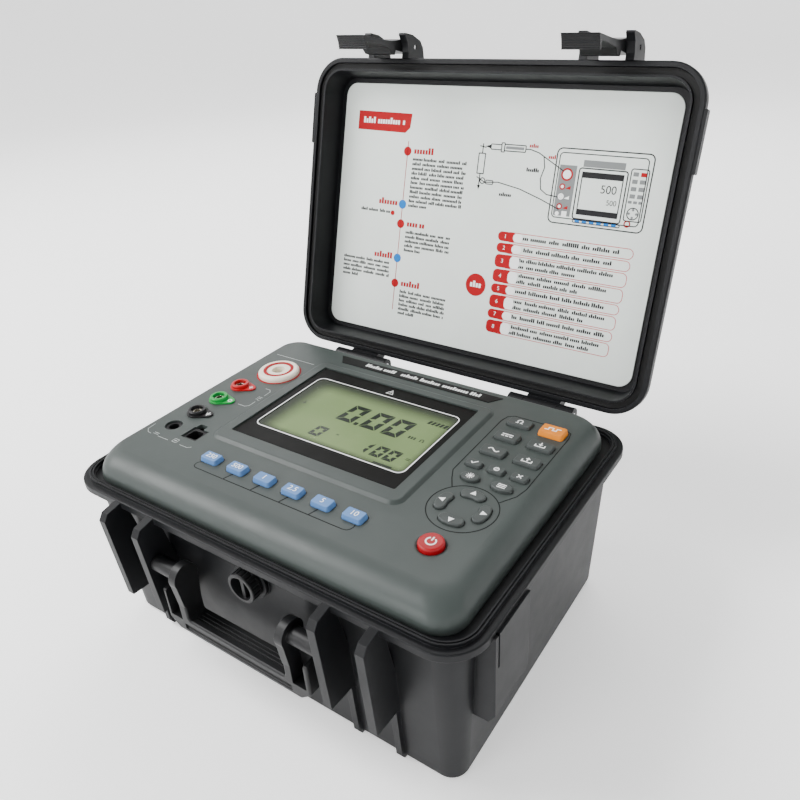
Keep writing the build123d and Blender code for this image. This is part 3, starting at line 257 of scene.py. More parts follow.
def lcd_material(x_range, y_range, shadow_fade):
    """Grey-green display glass with a painted shadow that darkens it softly towards the frame, most on its
    left and far sides, standing in for the shade of its recess.
    """
    made = bpy.data.materials.new("lcd_glass")
    made.use_nodes = True
    tree = made.node_tree
    shader = tree.nodes["Principled BSDF"]
    shader.inputs["Roughness"].default_value = 0.50
    shader.inputs["Specular IOR Level"].default_value = 0.10
    coords = new_node(tree, "ShaderNodeTexCoord")
    split = new_node(tree, "ShaderNodeSeparateXYZ")
    link(tree, coords.outputs["Object"], split.inputs[0])
    narrow, wide = 0.4 * shadow_fade, 0.9 * shadow_fade
    edges = (
        ("X", x_range[0], x_range[0] + shadow_fade), ("X", x_range[1], x_range[1] - narrow),
        ("Y", y_range[0], y_range[0] + narrow), ("Y", y_range[1], y_range[1] - wide),
    )
    lit = None
    for axis, dark_at, clear_at in edges:
        side_light = new_node(tree, "ShaderNodeMapRange", interpolation_type="SMOOTHSTEP")
        side_light.inputs["From Min"].default_value = dark_at * MM
        side_light.inputs["From Max"].default_value = clear_at * MM
        link(tree, split.outputs[axis], side_light.inputs["Value"])
        if lit is None:
            lit = side_light.outputs["Result"]
            continue
        product = new_node(tree, "ShaderNodeMath", operation="MULTIPLY")
        link(tree, lit, product.inputs[0])
        link(tree, side_light.outputs["Result"], product.inputs[1])
        lit = product.outputs["Value"]
    cloud = noise(tree, coords, 40.0, 4.0)
    green = mix_colour(tree, ramp(tree, cloud.outputs["Fac"], 0.0, 1.0, 0.3, 0.7),
                       (0.150, 0.215, 0.088, 1.0), (0.180, 0.248, 0.108, 1.0))
    # painted shadow: near black at the frame, fading into the green further in
    link(tree, mix_colour(tree, lit, (0.030, 0.035, 0.026, 1.0), green), shader.inputs["Base Color"])
    grain = noise(tree, coords, 2500.0, 2.0)
    bump = new_node(tree, "ShaderNodeBump", in_Strength=0.3, in_Distance=0.003 * MM)
    link(tree, grain.outputs["Fac"], bump.inputs["Height"])
    link(tree, bump.outputs["Normal"], shader.inputs["Normal"])
    return made


def window_material():
    """Clear acrylic, very slightly hazed, over the display."""
    made = bpy.data.materials.new("window_clear")
    made.use_nodes = True
    tree = made.node_tree
    shader = tree.nodes["Principled BSDF"]
    shader.inputs["Base Color"].default_value = (0.02, 0.025, 0.02, 1.0)
    shader.inputs["Alpha"].default_value = 0.04
    shader.inputs["Specular IOR Level"].default_value = 0.08
    coords = new_node(tree, "ShaderNodeTexCoord")
    smear = noise(tree, coords, 60.0, 5.0, 0.6)
    link(tree, ramp(tree, smear.outputs["Fac"], 0.06, 0.16, 0.3, 0.7), shader.inputs["Roughness"])
    grain = noise(tree, coords, 500.0, 2.0)
    bump = new_node(tree, "ShaderNodeBump", in_Strength=0.2, in_Distance=0.002 * MM)
    link(tree, grain.outputs["Fac"], bump.inputs["Height"])
    link(tree, bump.outputs["Normal"], shader.inputs["Normal"])
    return made


LCD_X, LCD_Y = (-60.0, 48.0), (-15.8, 49.0)      # where the painted shadow on the display is fully dark, in millimetres
LCD_SHADOW_FADE = 17.0
LCD = lcd_material(LCD_X, LCD_Y, LCD_SHADOW_FADE)
WINDOW = window_material()

BLUE_KEYS = ("key_250v", "key_500v", "key_1kv", "key_2kv5", "key_5kv", "key_10kv")
FINISH = {
    "base_tub": CASE, "lid_shell": CASE, "carry_handle": HANDLE, "latch_left": HANDLE, "latch_right": HANDLE,
    "control_panel": PANEL, "display_bezel": BEZEL, "display_window": WINDOW, "lcd_glass": LCD,
    "lcd_backlight": LIGHT_GUIDE, "name_strip": STRIP, "instruction_plate": PLATE,
    "socket_red": SOCKET_RED, "socket_green": SOCKET_GREEN, "socket_black": SOCKET_BLACK,
    "socket_contacts": PLATED, "hv_collar": HV_WHITE, "hv_band": SOCKET_RED, "hv_core": HV_WHITE,
    "hv_contact": PLATED, "dc_jack": CONNECTOR, "usb_socket": CONNECTOR, "key_mat": MAT,
    "main_board": BOARD, "power_board": BOARD, "board_screws": STEEL, "case_screws": STEEL,
    "battery_pack": WRAP, "hv_transformer": TAPE, "hv_multiplier": POTTING, "valve_bush": CASE,
    "valve_seal": RUBBER, "valve_knob": HANDLE, "handle_pins": STEEL, "hinge_pins": STEEL,
    "latch_pins": STEEL, "lid_seal": RUBBER, "key_test": KEY_ORANGE, "key_power": KEY_RED,
}
for name, node in nodes.items():
    finish = FINISH.get(name) or (KEY_BLUE if name in BLUE_KEYS else KEY_GREY)
    node.data.materials.clear()
    node.data.materials.append(finish)


# =============================================================================================
# Flat prints: outlines in millimetres on a plane, made into thin closed solids
# =============================================================================================
class Print:
    """Collects flat shapes, in millimetres, and turns them into one thin mesh on a plane."""

    def __init__(self):
        self.loops = []

    def polygon(self, points):
        self.loops.append([Vector(p) for p in points])

    def rect(self, x0, y0, x1, y1, radius=0.0):
        self.polygon(rounded(x0, y0, x1, y1, radius))

    def disc(self, x, y, r, steps=36):
        self.polygon(circle(x, y, r, steps))

    def ring(self, x, y, r, width, start=0.0, sweep=360.0):
        steps = max(8, int(abs(sweep) / 6))
        closed = abs(sweep) >= 360
        angles = [math.radians(start + sweep * i / steps) for i in range(steps if closed else steps + 1)]
        self.stroke([(x + r * math.cos(a), y + r * math.sin(a)) for a in angles], width, closed)

    def stroke(self, points, width, closed=False):
        """A line of even width through the points, as one strip of quads with mitred corners."""
        points = [Vector(p) for p in points]
        count = len(points)
        left, right = [], []
        for i, point in enumerate(points):
            before = points[(i - 1) % count] if closed or i else None
            after = points[(i + 1) % count] if closed or i < count - 1 else None
            pairs = [(a, b) for a, b in ((before, point), (point, after)) if a is not None and b is not None]
            ways = [(b - a).normalized() for a, b in pairs]
            along = sum(ways, Vector((0.0, 0.0))).normalized()
            across = Vector((-along.y, along.x))
            reach = width / 2 / max(0.4, abs(across.dot(Vector((-ways[0].y, ways[0].x)))))
            left.append(point + across * reach)
            right.append(point - across * reach)
        last = count if closed else count - 1
        for i in range(last):
            j = (i + 1) % count
            self.loops.append([left[i], right[i], right[j], left[j]])

    def outline(self, x0, y0, x1, y1, radius, width):
        self.stroke(rounded(x0, y0, x1, y1, radius), width, closed=True)

    def moved(self, dx, dy):
        shift = Vector((dx, dy))
        self.loops = [[p + shift for p in loop] for loop in self.loops]
        return self

    def build(self, name, place, material, body, slot, thick=PRINT_T, sink=PRINT_SINK):
        """Makes the mesh on the plane given by place and lets it ride on body; slot is not used."""
        mesh = bpy.data.meshes.new(name)
        bm = bmesh.new()
        for loop in self.loops:
            area = sum(a.x * b.y - b.x * a.y for a, b in zip(loop, loop[1:] + loop[:1]))
            turn = loop if area > 0 else loop[::-1]
            low = [bm.verts.new((p.x * MM, p.y * MM, -sink)) for p in turn]
            high = [bm.verts.new((p.x * MM, p.y * MM, thick)) for p in turn]
            bm.faces.new(high)
            bm.faces.new(low[::-1])
            for i in range(len(turn)):
                j = (i + 1) % len(turn)
                bm.faces.new((low[i], low[j], high[j], high[i]))
        bm.transform(place)
        bm.to_mesh(mesh)
        bm.free()
        mesh.materials.append(material)
        made = bpy.data.objects.new(name, mesh)
        bpy.context.scene.collection.objects.link(made)
        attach(made, body)
        return made


def circle(x, y, r, steps=36):
    turns = [2 * math.pi * i / steps for i in range(steps)]
    return [(x + r * math.cos(a), y + r * math.sin(a)) for a in turns]


def rounded(x0, y0, x1, y1, radius=0.0, steps=6):
    if radius <= 0:
        return [(x0, y0), (x1, y0), (x1, y1), (x0, y1)]
    points = []
    for cx, cy, start in ((x1 - radius, y0 + radius, -90), (x1 - radius, y1 - radius, 0),
                          (x0 + radius, y1 - radius, 90), (x0 + radius, y0 + radius, 180)):
        for i in range(steps + 1):
            a = math.radians(start + 90 * i / steps)
            points.append((cx + radius * math.cos(a), cy + radius * math.sin(a)))
    return points


FONT_SIZE_PER_HEIGHT = 1.38     # a font size of 1.38 gives digits about 1 high


def figures(text, x, y, height):
    """Triangles of the digits in text, centred on x and y, in millimetres."""
    curve = bpy.data.curves.new("figures", "FONT")
    curve.body = text
    curve.size = height * FONT_SIZE_PER_HEIGHT
    curve.align_x = "CENTER"
    curve.align_y = "CENTER"
    made = bpy.data.objects.new("figures", curve)
    bpy.context.scene.collection.objects.link(made)
    bpy.context.view_layer.update()
    mesh = bpy.data.meshes.new_from_object(made.evaluated_get(bpy.context.evaluated_depsgraph_get()))
    corners = [Vector((vertex.co.x + x, vertex.co.y + y)) for vertex in mesh.vertices]
    loops = [[corners[i] for i in face.vertices] for face in mesh.polygons]
    bpy.data.objects.remove(made)
    bpy.data.curves.remove(curve)
    bpy.data.meshes.remove(mesh)
    return loops


def top_plane(node):
    """The flat top of a CAD node, as a matrix whose x and y are the row's X and Y."""
    return Matrix.Translation((0, 0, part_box(node)[1].z))


PANEL_TOP = 0.1182
ON_PANEL = Matrix.Translation((0, 0, PANEL_TOP))
ON_BEZEL = top_plane("display_bezel")
ON_STRIP = top_plane("name_strip")

# the plate's plane, from its own corners: u to the right, v from the hinge edge to the latch edge
LID_TURN = math.radians(106.1)
LID_V = Vector((0, -math.cos(LID_TURN), math.sin(LID_TURN)))
LID_OUT = Vector((0, -math.sin(LID_TURN), -math.cos(LID_TURN)))
RIM_ORIGIN = Vector((0, 110.853, 109.387)) * MM
PLATE_DROP = 17.4 * MM
plate_origin = RIM_ORIGIN - LID_OUT * PLATE_DROP
ON_PLATE = Matrix((
    (1, 0, 0, plate_origin.x),
    (0, LID_V.y, LID_OUT.y, plate_origin.y),
    (0, LID_V.z, LID_OUT.z, plate_origin.z),
    (0, 0, 0, 1),
))


def words(sheet, x0, x1, y, height, line_seed, gap=0.75, fill=1.0):
    """A line of greeked words: short bars of uneven length between x0 and x1."""
    chooser = random.Random(line_seed)
    end = x0 + (x1 - x0) * fill
    low = y - height * 0.37
    x = x0
    while x < end - 1.0:
        length = min(chooser.uniform(2.0, 6.2) * height / 1.1, end - x)
        if length > 0.5:
            step = height * 0.58
            cursor = x
            while cursor < x + length - 0.15:
                tall = chooser.choice((0.74, 0.74, 0.74, 1.1))
                sheet.rect(cursor, low, cursor + step * 0.74, low + height * tall)
                cursor += step
        x += length + gap * height


# ---- control panel ---------------------------------------------------------------------------
light_lines = Print()
light_lines.stroke([(-114.5, 62.7), (-80.0, 62.7)], 0.42)
light_lines.stroke([(-117.3, -46.0), (-117.0, -52.0), (-114.0, -54.6), (-111.0, -54.9)], 0.34)
light_lines.stroke([(-104.6, -54.9), (-95.6, -54.9)], 0.34)
light_lines.stroke([(-85.2, -54.9), (-79.0, -54.9), (-76.8, -53.2)], 0.34)
# bracket that joins the two measuring sockets
light_lines.stroke([(-86.5, 20.6), (-82.6, 20.6), (-80.6, 18.6), (-80.6, 13.0)], 0.42)
light_lines.stroke([(-80.6, 4.5), (-80.6, -1.0), (-82.6, -3.0), (-88.5, -3.0)], 0.42)
light_lines.stroke([(-83.0, 10.4), (-79.6, 10.4)], 0.36)
light_lines.stroke([(-83.0, 9.0), (-79.6, 9.0)], 0.36)
light_lines.stroke([(-83.0 + 0.35 * i, 7.2 + 0.5 * math.sin(i * 0.65)) for i in range(11)], 0.34)
# symbols beside the inlets: direct current, and a square port
light_lines.stroke([(-109.8, -52.6), (-105.8, -52.6)], 0.42)
for i in range(3):
    light_lines.stroke([(-109.8 + 1.45 * i, -53.9), (-108.7 + 1.45 * i, -53.9)], 0.42)
light_lines.outline(-92.6, -54.6, -89.0, -51.4, 0.4, 0.36)
light_lines.rect(-91.7, -53.4, -89.9, -52.6)
light_lines.build("panel_light_lines", ON_PANEL, INK_GREY, "base", "label_dark")

HV_CENTRE = (-93.4, 41.5)
# painted reflection: this red ring on the panel round the high-voltage socket stands in for the red glow
# reflected there
red_reflection_ring = Print()
red_reflection_ring.ring(*HV_CENTRE, 14.6, 1.5)
red_reflection_ring.build("panel_red_reflection_ring", ON_PANEL, RED_INK_AND_REFLECTION, "base", "socket_red")

hv_ring = Print()
hv_ring.ring(*HV_CENTRE, 9.3, 2.2)
hv_ring.build("hv_ring_mark", top_plane("hv_collar"), RED_INK_AND_REFLECTION, "base", "socket_red", sink=0.4 * MM)

KEY_TREE_Y = -66.4
dark_lines = Print()
TREE_END_R = 3.0
tree_turns = [math.radians(a) for a in range(0, 181, 20)]
tree_start = [(-58.6 - TREE_END_R * math.sin(a), -63.4 + TREE_END_R * math.cos(a)) for a in tree_turns]
tree_end = [(46.0, KEY_TREE_Y), (48.4, -65.9), (49.6, -64.6), (50.2, -62.4), (49.8, -60.4)]
dark_lines.stroke(tree_start + tree_end, 0.55)
KEY_PITCH = 20.4
for i in range(1, 5):
    x = -55.8 + KEY_PITCH * i
    dark_lines.stroke([(x - 1.6, KEY_TREE_Y), (x, -60.4)], 0.8)
# outline of the keypad, which narrows to the ring round the arrows
ARROW_CENTRE = (89.0, -23.0)
ARROW_RING_R = 18.6
left_join, right_join = (75.4, -10.3), (102.6, -10.3)
dark_lines.stroke(
    [left_join, (71.2, -3.4), (67.9, 3.4), (67.6, 60.0), (69.0, 66.0), (72.6, 68.4),
     (105.2, 68.4), (108.8, 66.2), (109.9, 61.0), (109.9, 6.4), (108.2, -1.4), right_join], 0.6)
dark_lines.ring(*ARROW_CENTRE, ARROW_RING_R, 0.6)
dark_lines.build("panel_dark_lines", ON_PANEL, INK_DARK, "base", "label_dark")

strip_marks = Print()
words(strip_marks, -46.0, -22.0, 78.7, 3.3, 11, gap=0.95)
words(strip_marks, -17.0, 43.0, 78.7, 3.3, 12, gap=0.95)
strip_marks.build("name_strip_marks", ON_STRIP, INK_WHITE, "base", "label_dark")

bezel_marks = Print()
bezel_marks.outline(-62.3, -15.1, 46.5, 49.9, 4.6, 0.75)
bezel_marks.stroke([(-11.6, 53.6), (-9.2, 57.8), (-6.8, 53.6)], 0.45, closed=True)
bezel_marks.stroke([(-9.2, 54.7), (-9.2, 56.2)], 0.45)
bezel_marks.build("bezel_marks", ON_BEZEL, INK_WHITE, "base", "label_dark")


# ---- display ---------------------------------------------------------------------------------
SEGMENTS = {"0": "abcdef", "1": "bc"}
SLANT = 0.16


def seven_segment(sheet, digit, x, y, width, height, thick):
    """One slanted seven-segment figure whose lower left corner is at x and y."""
    half, gap, cut = height / 2, thick * 0.10, thick * 0.30
    right, top, inner = width, height, width - thick
    bars = {
        "a": [(gap, top), (right - gap, top), (inner - gap, top - thick), (thick + gap, top - thick)],
        "d": [(gap, 0), (right - gap, 0), (inner - gap, thick), (thick + gap, thick)],
        "b": [(right, top - gap), (right, half + gap), (inner, half + cut + gap),
              (inner, top - thick - gap)],
        "c": [(right, gap), (right, half - gap), (inner, half - cut - gap), (inner, thick + gap)],
        "e": [(0, gap), (0, half - gap), (thick, half - cut - gap), (thick, thick + gap)],
        "f": [(0, top - gap), (0, half + gap), (thick, half + cut + gap), (thick, top - thick - gap)],
    }
    for letter in SEGMENTS[digit]:
        sheet.polygon([(x + px + py * SLANT, y + py) for px, py in bars[letter]])


# the display sheet lies just under the window's face and carries the display colour with its painted shadow
ON_LCD = Matrix.Translation((0, 0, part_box("display_window")[1].z - 0.20 * MM))
sheet_low, sheet_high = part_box("display_window")
lcd_sheet = Print()
lcd_sheet.rect(sheet_low.x / MM, sheet_low.y / MM, sheet_high.x / MM, sheet_high.y / MM, 4.0)
lcd_sheet.build("lcd_sheet", ON_LCD, LCD, "base", "lcd", thick=0.0, sink=0.3 * MM)

readout = Print()
for digit, x in (("0", -23.8), ("0", -6.0), ("0", 9.6)):
    seven_segment(readout, digit, x, 15.8, 12.0, 19.0, 3.5)
readout.rect(-9.9, 15.6, -7.2, 18.5)
seven_segment(readout, "0", -28.0, -5.6, 7.8, 10.6, 2.3)
for digit, x in (("1", 6.9), ("0", 17.2), ("0", 25.9)):
    seven_segment(readout, digit, x, -5.8, 7.0, 10.8, 2.3)
# small unit signs: ohm, direct current, and the charge bars
readout.ring(36.6, 20.6, 1.1, 0.5, -50, 280)
readout.stroke([(35.0, 19.6), (36.1, 19.6)], 0.5)
readout.stroke([(37.1, 19.6), (38.2, 19.6)], 0.5)
for i in range(3):
    readout.rect(27.4 + 1.8 * i, 19.4, 28.5 + 1.8 * i, 21.8)
readout.stroke([(38.6, 1.6), (41.4, 1.6)], 0.5)
readout.stroke([(38.6, 0.4), (41.4, 0.4)], 0.5)
for i in range(6):
    x = 2.7 * i
    readout.polygon([(28.8 + x, 38.0), (30.6 + x, 38.0), (31.6 + x, 41.6), (29.8 + x, 41.6)])
readout.rect(-54.6, 21.0, -51.6, 21.8)
readout.rect(-53.4, 21.8, -52.8, 24.2)
readout.rect(-11.4, 1.6, -9.8, 2.4)
readout.rect(24.0, -10.9, 36.5, -9.4)
readout.moved(1.8, -2.5).build("lcd_readout", ON_LCD, SEGMENT, "base", "lcd")


# ---- key legends -----------------------------------------------------------------------------
def key_centre(name):
    low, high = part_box(name)
    return (low.x + high.x) / 2 / MM, (low.y + high.y) / 2 / MM


def legend(name, material, draw):
    sheet = Print()
    draw(sheet)
    x, y = key_centre(name)
    sheet.moved(x, y).build("legend_" + name, top_plane(name), material, name, "label_dark")


def draw_figures(text, height):
    def draw(sheet):
        sheet.loops.extend(figures(text, 0, 0, height))
    return draw


def draw_ohm(sheet):
    sheet.ring(0, 0.3, 1.5, 0.62, -52, 284)
    sheet.stroke([(-2.2, -1.5), (-0.85, -1.5), (-0.95, -0.8)], 0.6)
    sheet.stroke([(2.2, -1.5), (0.85, -1.5), (0.95, -0.8)], 0.6)


def draw_direct(sheet):
    sheet.stroke([(-3.4, 0.9), (3.4, 0.9)], 0.8)
    for i in range(3):
        sheet.stroke([(-3.4 + 2.5 * i, -0.9), (-1.6 + 2.5 * i, -0.9)], 0.8)


def draw_wave(sheet):
    sheet.stroke([(-3.4 + 0.4 * i, 1.2 * math.sin(math.radians(i * 360 / 17))) for i in range(18)], 0.8)


def draw_store(sheet):
    sheet.stroke([(-2.8, 0.0), (-2.8, -1.9), (2.8, -1.9), (2.8, 0.0)], 0.7)
    sheet.stroke([(0, 2.4), (0, 0.2)], 0.7)
    sheet.polygon([(-1.4, 0.6), (0, -1.0), (1.4, 0.6)])


def draw_recall(sheet):
    sheet.stroke([(-2.8, 0.0), (-2.8, -1.9), (2.8, -1.9), (2.8, 0.0)], 0.7)
    sheet.stroke([(0, 0.9), (0, -1.1)], 0.7)
    sheet.polygon([(-1.4, 0.7), (1.4, 0.7), (0, 2.4)])


def draw_check(sheet):
    sheet.stroke([(-1.7, 0.0), (-0.5, -1.2), (1.8, 1.4)], 0.65)


def draw_dash(sheet):
    sheet.ring(0, 0, 1.35, 0.5)
    sheet.stroke([(-0.95, -0.95), (0.95, 0.95)], 0.5)


def draw_cross(sheet):
    sheet.stroke([(-1.3, -1.3), (1.3, 1.3)], 0.65)
    sheet.stroke([(-1.3, 1.3), (1.3, -1.3)], 0.65)


def draw_sun(sheet):
    sheet.disc(0, 0, 1.0, 20)
    for i in range(10):
        a = math.radians(36 * i)
        sheet.stroke([(r * math.cos(a), r * math.sin(a)) for r in (1.25, 2.35)], 0.42)


def draw_menu(sheet):
    for i in range(3):
        sheet.stroke([(-2.4, 1.3 * (i - 1)), (2.4, 1.3 * (i - 1))], 0.6)


def draw_pulse(sheet):
    low, high = -1.0, 1.4
    rises = ((-4.8, low), (-2.6, low), (-2.6, high), (0.0, high))
    falls = ((0.0, low), (2.2, low), (2.2, high), (4.6, high))
    sheet.stroke(rises + falls, 0.75)


def draw_power(sheet):
    sheet.ring(0, -0.2, 2.5, 0.8, 122, 296)
    sheet.stroke([(0, 0.3), (0, 3.0)], 0.8)


for name, text in zip(BLUE_KEYS, ("250", "500", "1", "2.5", "5", "10")):
    legend(name, INK_WHITE, draw_figures(text, 3.6))
for name, draw in (
    ("key_ohm", draw_ohm), ("key_volts_dc", draw_direct), ("key_volts_ac", draw_wave),
    ("key_memory", draw_store), ("key_recall", draw_recall), ("key_yes", draw_check),
    ("key_clear", draw_dash), ("key_no", draw_cross), ("key_backlight", draw_sun),
    ("key_mode", draw_menu), ("key_test", draw_pulse), ("key_power", draw_power),
):
    legend(name, INK_WHITE, draw)

ARROW_SIZE = 2.1
ARROW_OUT = 11.9
for name, angle in (("key_right", 0), ("key_up", 90), ("key_left", 180), ("key_down", 270)):
    turn = math.radians(angle)
    arrow = Print()
    centre = Vector(ARROW_CENTRE) + Vector((math.cos(turn), math.sin(turn))) * ARROW_OUT
    tips = [turn + a for a in (0, 2.2, -2.2)]
    arrow.polygon([centre + Vector((math.cos(a), math.sin(a))) * ARROW_SIZE for a in tips])
    arrow.build("legend_" + name, top_plane(name), INK_WHITE, name, "label_dark")

# ---- symbols on the socket tabs ---------------------------------------------------------------
TAB_TOP = Matrix.Translation((0, 0, PANEL_TOP + 0.9 * MM))
tab_marks = Print()
for name in ("socket_red", "socket_green", "socket_black"):
    low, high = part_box(name)
    x, y = high.x / MM - 3.0, (low.y + high.y) / 2 / MM + 1.2
    if name == "socket_red":
        tab_marks.stroke([(x - 1.4, y), (x + 1.4, y)], 0.6)
        tab_marks.stroke([(x, y - 1.4), (x, y + 1.4)], 0.6)
    elif name == "socket_green":
        tab_marks.ring(x, y, 1.2, 0.55)
    else:
        for i, half in enumerate((1.7, 1.1, 0.5)):
            tab_marks.stroke([(x - half, y + 0.4 - 1.0 * i), (x + half, y + 0.4 - 1.0 * i)], 0.5)
        tab_marks.stroke([(x, y + 0.4), (x, y + 1.9)], 0.5)
tab_marks.build("socket_tab_marks", TAB_TOP, INK_WHITE, "base", "label_dark")

# =============================================================================================
# Instruction plate: greeked text, a wiring drawing and eight numbered lines
# =============================================================================================
plate_red, plate_text, plate_line, plate_white = Print(), Print(), Print(), Print()
plate_blue, plate_pink, plate_shade = Print(), Print(), Print()

# heading box with one cut corner
plate_red.polygon([(-107.7, 156.2), (-66.5, 155.6), (-62.8, 159.0), (-62.0, 168.4), (-107.7, 168.9)])
words(plate_white, -103.0, -67.5, 162.2, 3.7, 21, gap=0.9)

# time line with its five dots
STEP_U = -63.0
ROW_PITCH = 3.15
plate_red.stroke([(STEP_U, 150.4), (STEP_U, 31.6)], 0.5)
STEP_V = (143.7, 107.5, 93.9, 69.4, 51.2)
for i, v in enumerate(STEP_V):
    on_left = i % 2 == 1
    (plate_blue if on_left else plate_red).disc(STEP_U, v, 3.1)
    u0 = -83.5 if on_left else -57.5
    words(plate_red, u0, u0 + 14.5, v + 0.2, 4.0, 30 + i, gap=0.5)
plate_red.disc(-70.8, 100.7, 1.7)
for left, right, top, rows, seed in (
    (-58.0, -15.5, 138.6, 11, 40), (-58.0, -21.0, 88.4, 5, 60), (-58.0, -19.0, 45.6, 6, 80),
    (-99.0, -73.5, 101.0, 1, 90), (-111.5, -69.5, 64.6, 5, 95),
):
    for row in range(rows):
        fill = 0.35 if row == rows - 1 and rows > 1 else 1.0
        words(plate_text, left, right, top - ROW_PITCH * row, 2.05, seed + row, gap=0.8, fill=fill)

# wiring drawing: resistor, probe, clip, leads and the instrument
plate_line.stroke([(-4.0, 152.6), (-4.0, 146.4)], 0.65)
plate_line.stroke([(-6.4, 151.0), (-1.6, 150.2)], 0.6)
plate_line.outline(-6.4, 133.6, -1.6, 146.4, 0.1, 0.65)
plate_line.stroke([(-4.0, 133.6), (-4.0, 124.4)], 0.65)
plate_line.polygon([(-5.2, 126.2), (-2.8, 126.2), (-4.0, 123.4)])
plate_line.stroke([(-6.2, 131.4), (1.2, 127.8)], 0.6)
plate_line.ring(-1.6, 129.2, 1.8, 0.6)
plate_line.polygon([(-2.4, 151.0), (1.8, 152.2), (1.8, 149.8)])
plate_line.outline(1.8, 149.4, 9.4, 152.6, 0.5, 0.6)
plate_line.outline(9.4, 148.2, 11.6, 153.8, 0.3, 0.6)
plate_line.outline(11.6, 149.0, 26.6, 153.0, 0.4, 0.65)
plate_shade.rect(12.6, 150.2, 25.4, 151.9)
plate_line.stroke([(26.6, 151.0), (30.0, 151.0), (36.0, 149.4), (47.0, 143.6), (57.2, 138.2)], 0.62)
plate_line.stroke(
    [(39.6, 147.8), (41.2, 141.0), (39.4, 134.0), (40.6, 127.6), (45.0, 124.8), (55.2, 123.8)], 0.62)
plate_line.stroke([(1.2, 128.4), (10.0, 129.2), (26.0, 126.4), (42.0, 121.4), (54.8, 116.6)], 0.62)
plate_line.outline(1.0, 127.4, 6.4, 129.8, 0.8, 0.6)
words(plate_red, 29.0, 35.0, 153.0, 2.2, 101, gap=0.5)
words(plate_red, 43.0, 48.0, 147.2, 2.2, 102, gap=0.5)
words(plate_text, 29.0, 38.0, 138.4, 2.2, 103, gap=0.5)
words(plate_text, 12.0, 20.0, 121.6, 2.2, 104, gap=0.5)

# the small drawing of the instrument itself
IU0, IU1, IV0, IV1 = 48.5, 109.0, 108.4, 153.4
plate_line.outline(IU0, IV0, IU1, IV1, 3.4, 0.75)
plate_line.outline(IU0 + 2.0, IV0 + 3.4, IU1 - 3.0, IV1 - 2.6, 2.4, 0.6)
plate_shade.rect(51.4, 113.0, 62.6, 143.6)
plate_shade.rect(66.4, 143.4, 92.6, 147.4)
plate_line.outline(64.4, 112.4, 94.8, 142.6, 1.6, 0.75)
plate_line.polygon([(66.4, 115.0), (92.8, 115.0), (92.8, 118.4), (66.4, 118.4)])
plate_line.polygon([(66.4, 137.0), (92.8, 137.0), (92.8, 140.6), (66.4, 140.6)])
plate_line.stroke([(66.7, 118.4), (66.7, 137.0)], 0.6)
plate_line.stroke([(92.5, 118.4), (92.5, 137.0)], 0.6)
plate_line.loops.extend(figures("500", 84.6, 131.0, 5.0))
plate_line.loops.extend(figures("500", 87.6, 123.6, 3.2))
plate_red.ring(56.8, 138.0, 3.3, 1.1)
plate_white.disc(56.8, 138.0, 2.7)
for v, sheet in ((130.6, plate_red), (124.6, plate_white), (118.6, plate_red)):
    sheet.ring(54.9, v, 1.5, 0.8)
    plate_white.disc(54.9, v, 1.0, 16)
    sheet.polygon([(57.0, v - 1.0), (60.4, v - 1.4), (60.4, v + 0.8)])
plate_white.disc(54.0, 114.2, 1.3, 16)
plate_white.rect(57.0, 112.6, 60.4, 116.0)
plate_line.outline(65.0, 110.1, 95.0, 111.6, 0.6, 0.55)
for i in range(6):
    plate_blue.rect(66.4 + 4.7 * i, 110.3, 69.4 + 4.7 * i, 111.6)
plate_line.outline(96.6, 114.6, 107.2, 144.6, 1.4, 0.6)
for row in range(4):
    for column in range(2):
        sheet = plate_red if (row, column) == (0, 1) else plate_shade
        u, v = 97.9 + 4.6 * column, 140.4 - 4.2 * row
        sheet.rect(u, v, u + 3.3, v + 2.4, 0.3)
for i in range(3):
    plate_shade.rect(97.5 + 3.2 * i, 124.8, 99.9 + 3.2 * i, 126.4, 0.3)
plate_line.ring(101.6, 119.0, 3.4, 0.6)
for i in range(4):
    a = math.radians(90 * i)
    plate_shade.disc(101.6 + 2.3 * math.cos(a), 119.0 + 2.3 * math.sin(a), 0.8, 12)
plate_red.ring(99.4, 112.8, 1.7, 0.8)

# eight numbered lines, each a red cap and a pink outlined pill
PILL_U0, PILL_U1 = 15.4, 106.6
pill_v = 98.6
for i, double in enumerate((False, False, True, True, False, True, False, True)):
    tall = 8.6 if double else 6.2
    v1, v0 = pill_v, pill_v - tall
    radius = min(3.0, tall / 2 - 0.05)
    plate_pink.outline(PILL_U0 + 6.0, v0, PILL_U1 - 0.6 * i, v1, radius, 0.42)
    plate_red.rect(PILL_U0, v0, PILL_U0 + 13.6, v1, radius)
    plate_white.rect(PILL_U0 + 11.0, v0 + 0.45, PILL_U0 + 18.0, v1 - 0.45, min(2.6, radius - 0.2))
    plate_white.loops.extend(figures(str(i + 1), PILL_U0 + 5.4, (v0 + v1) / 2, 2.7))
    text_u = PILL_U0 + 12.4
    if double:
        words(plate_text, text_u, PILL_U1 - 10.0, v1 - 2.5, 2.25, 120 + i, gap=0.85)
        words(plate_text, text_u, PILL_U1 - 10.0, v0 + 2.1, 2.25, 140 + i, gap=0.85, fill=0.55 + 0.05 * i)
    else:
        middle, fill = (v0 + v1) / 2, 0.98 - 0.05 * (i % 3)
        words(plate_text, text_u, PILL_U1 - 8.0, middle, 2.4, 120 + i, gap=0.85, fill=fill)
    pill_v = v0 - 1.25
plate_red.disc(3.4, 60.6, 7.7)
words(plate_white, -0.8, 8.2, 60.4, 3.8, 160, gap=0.4)

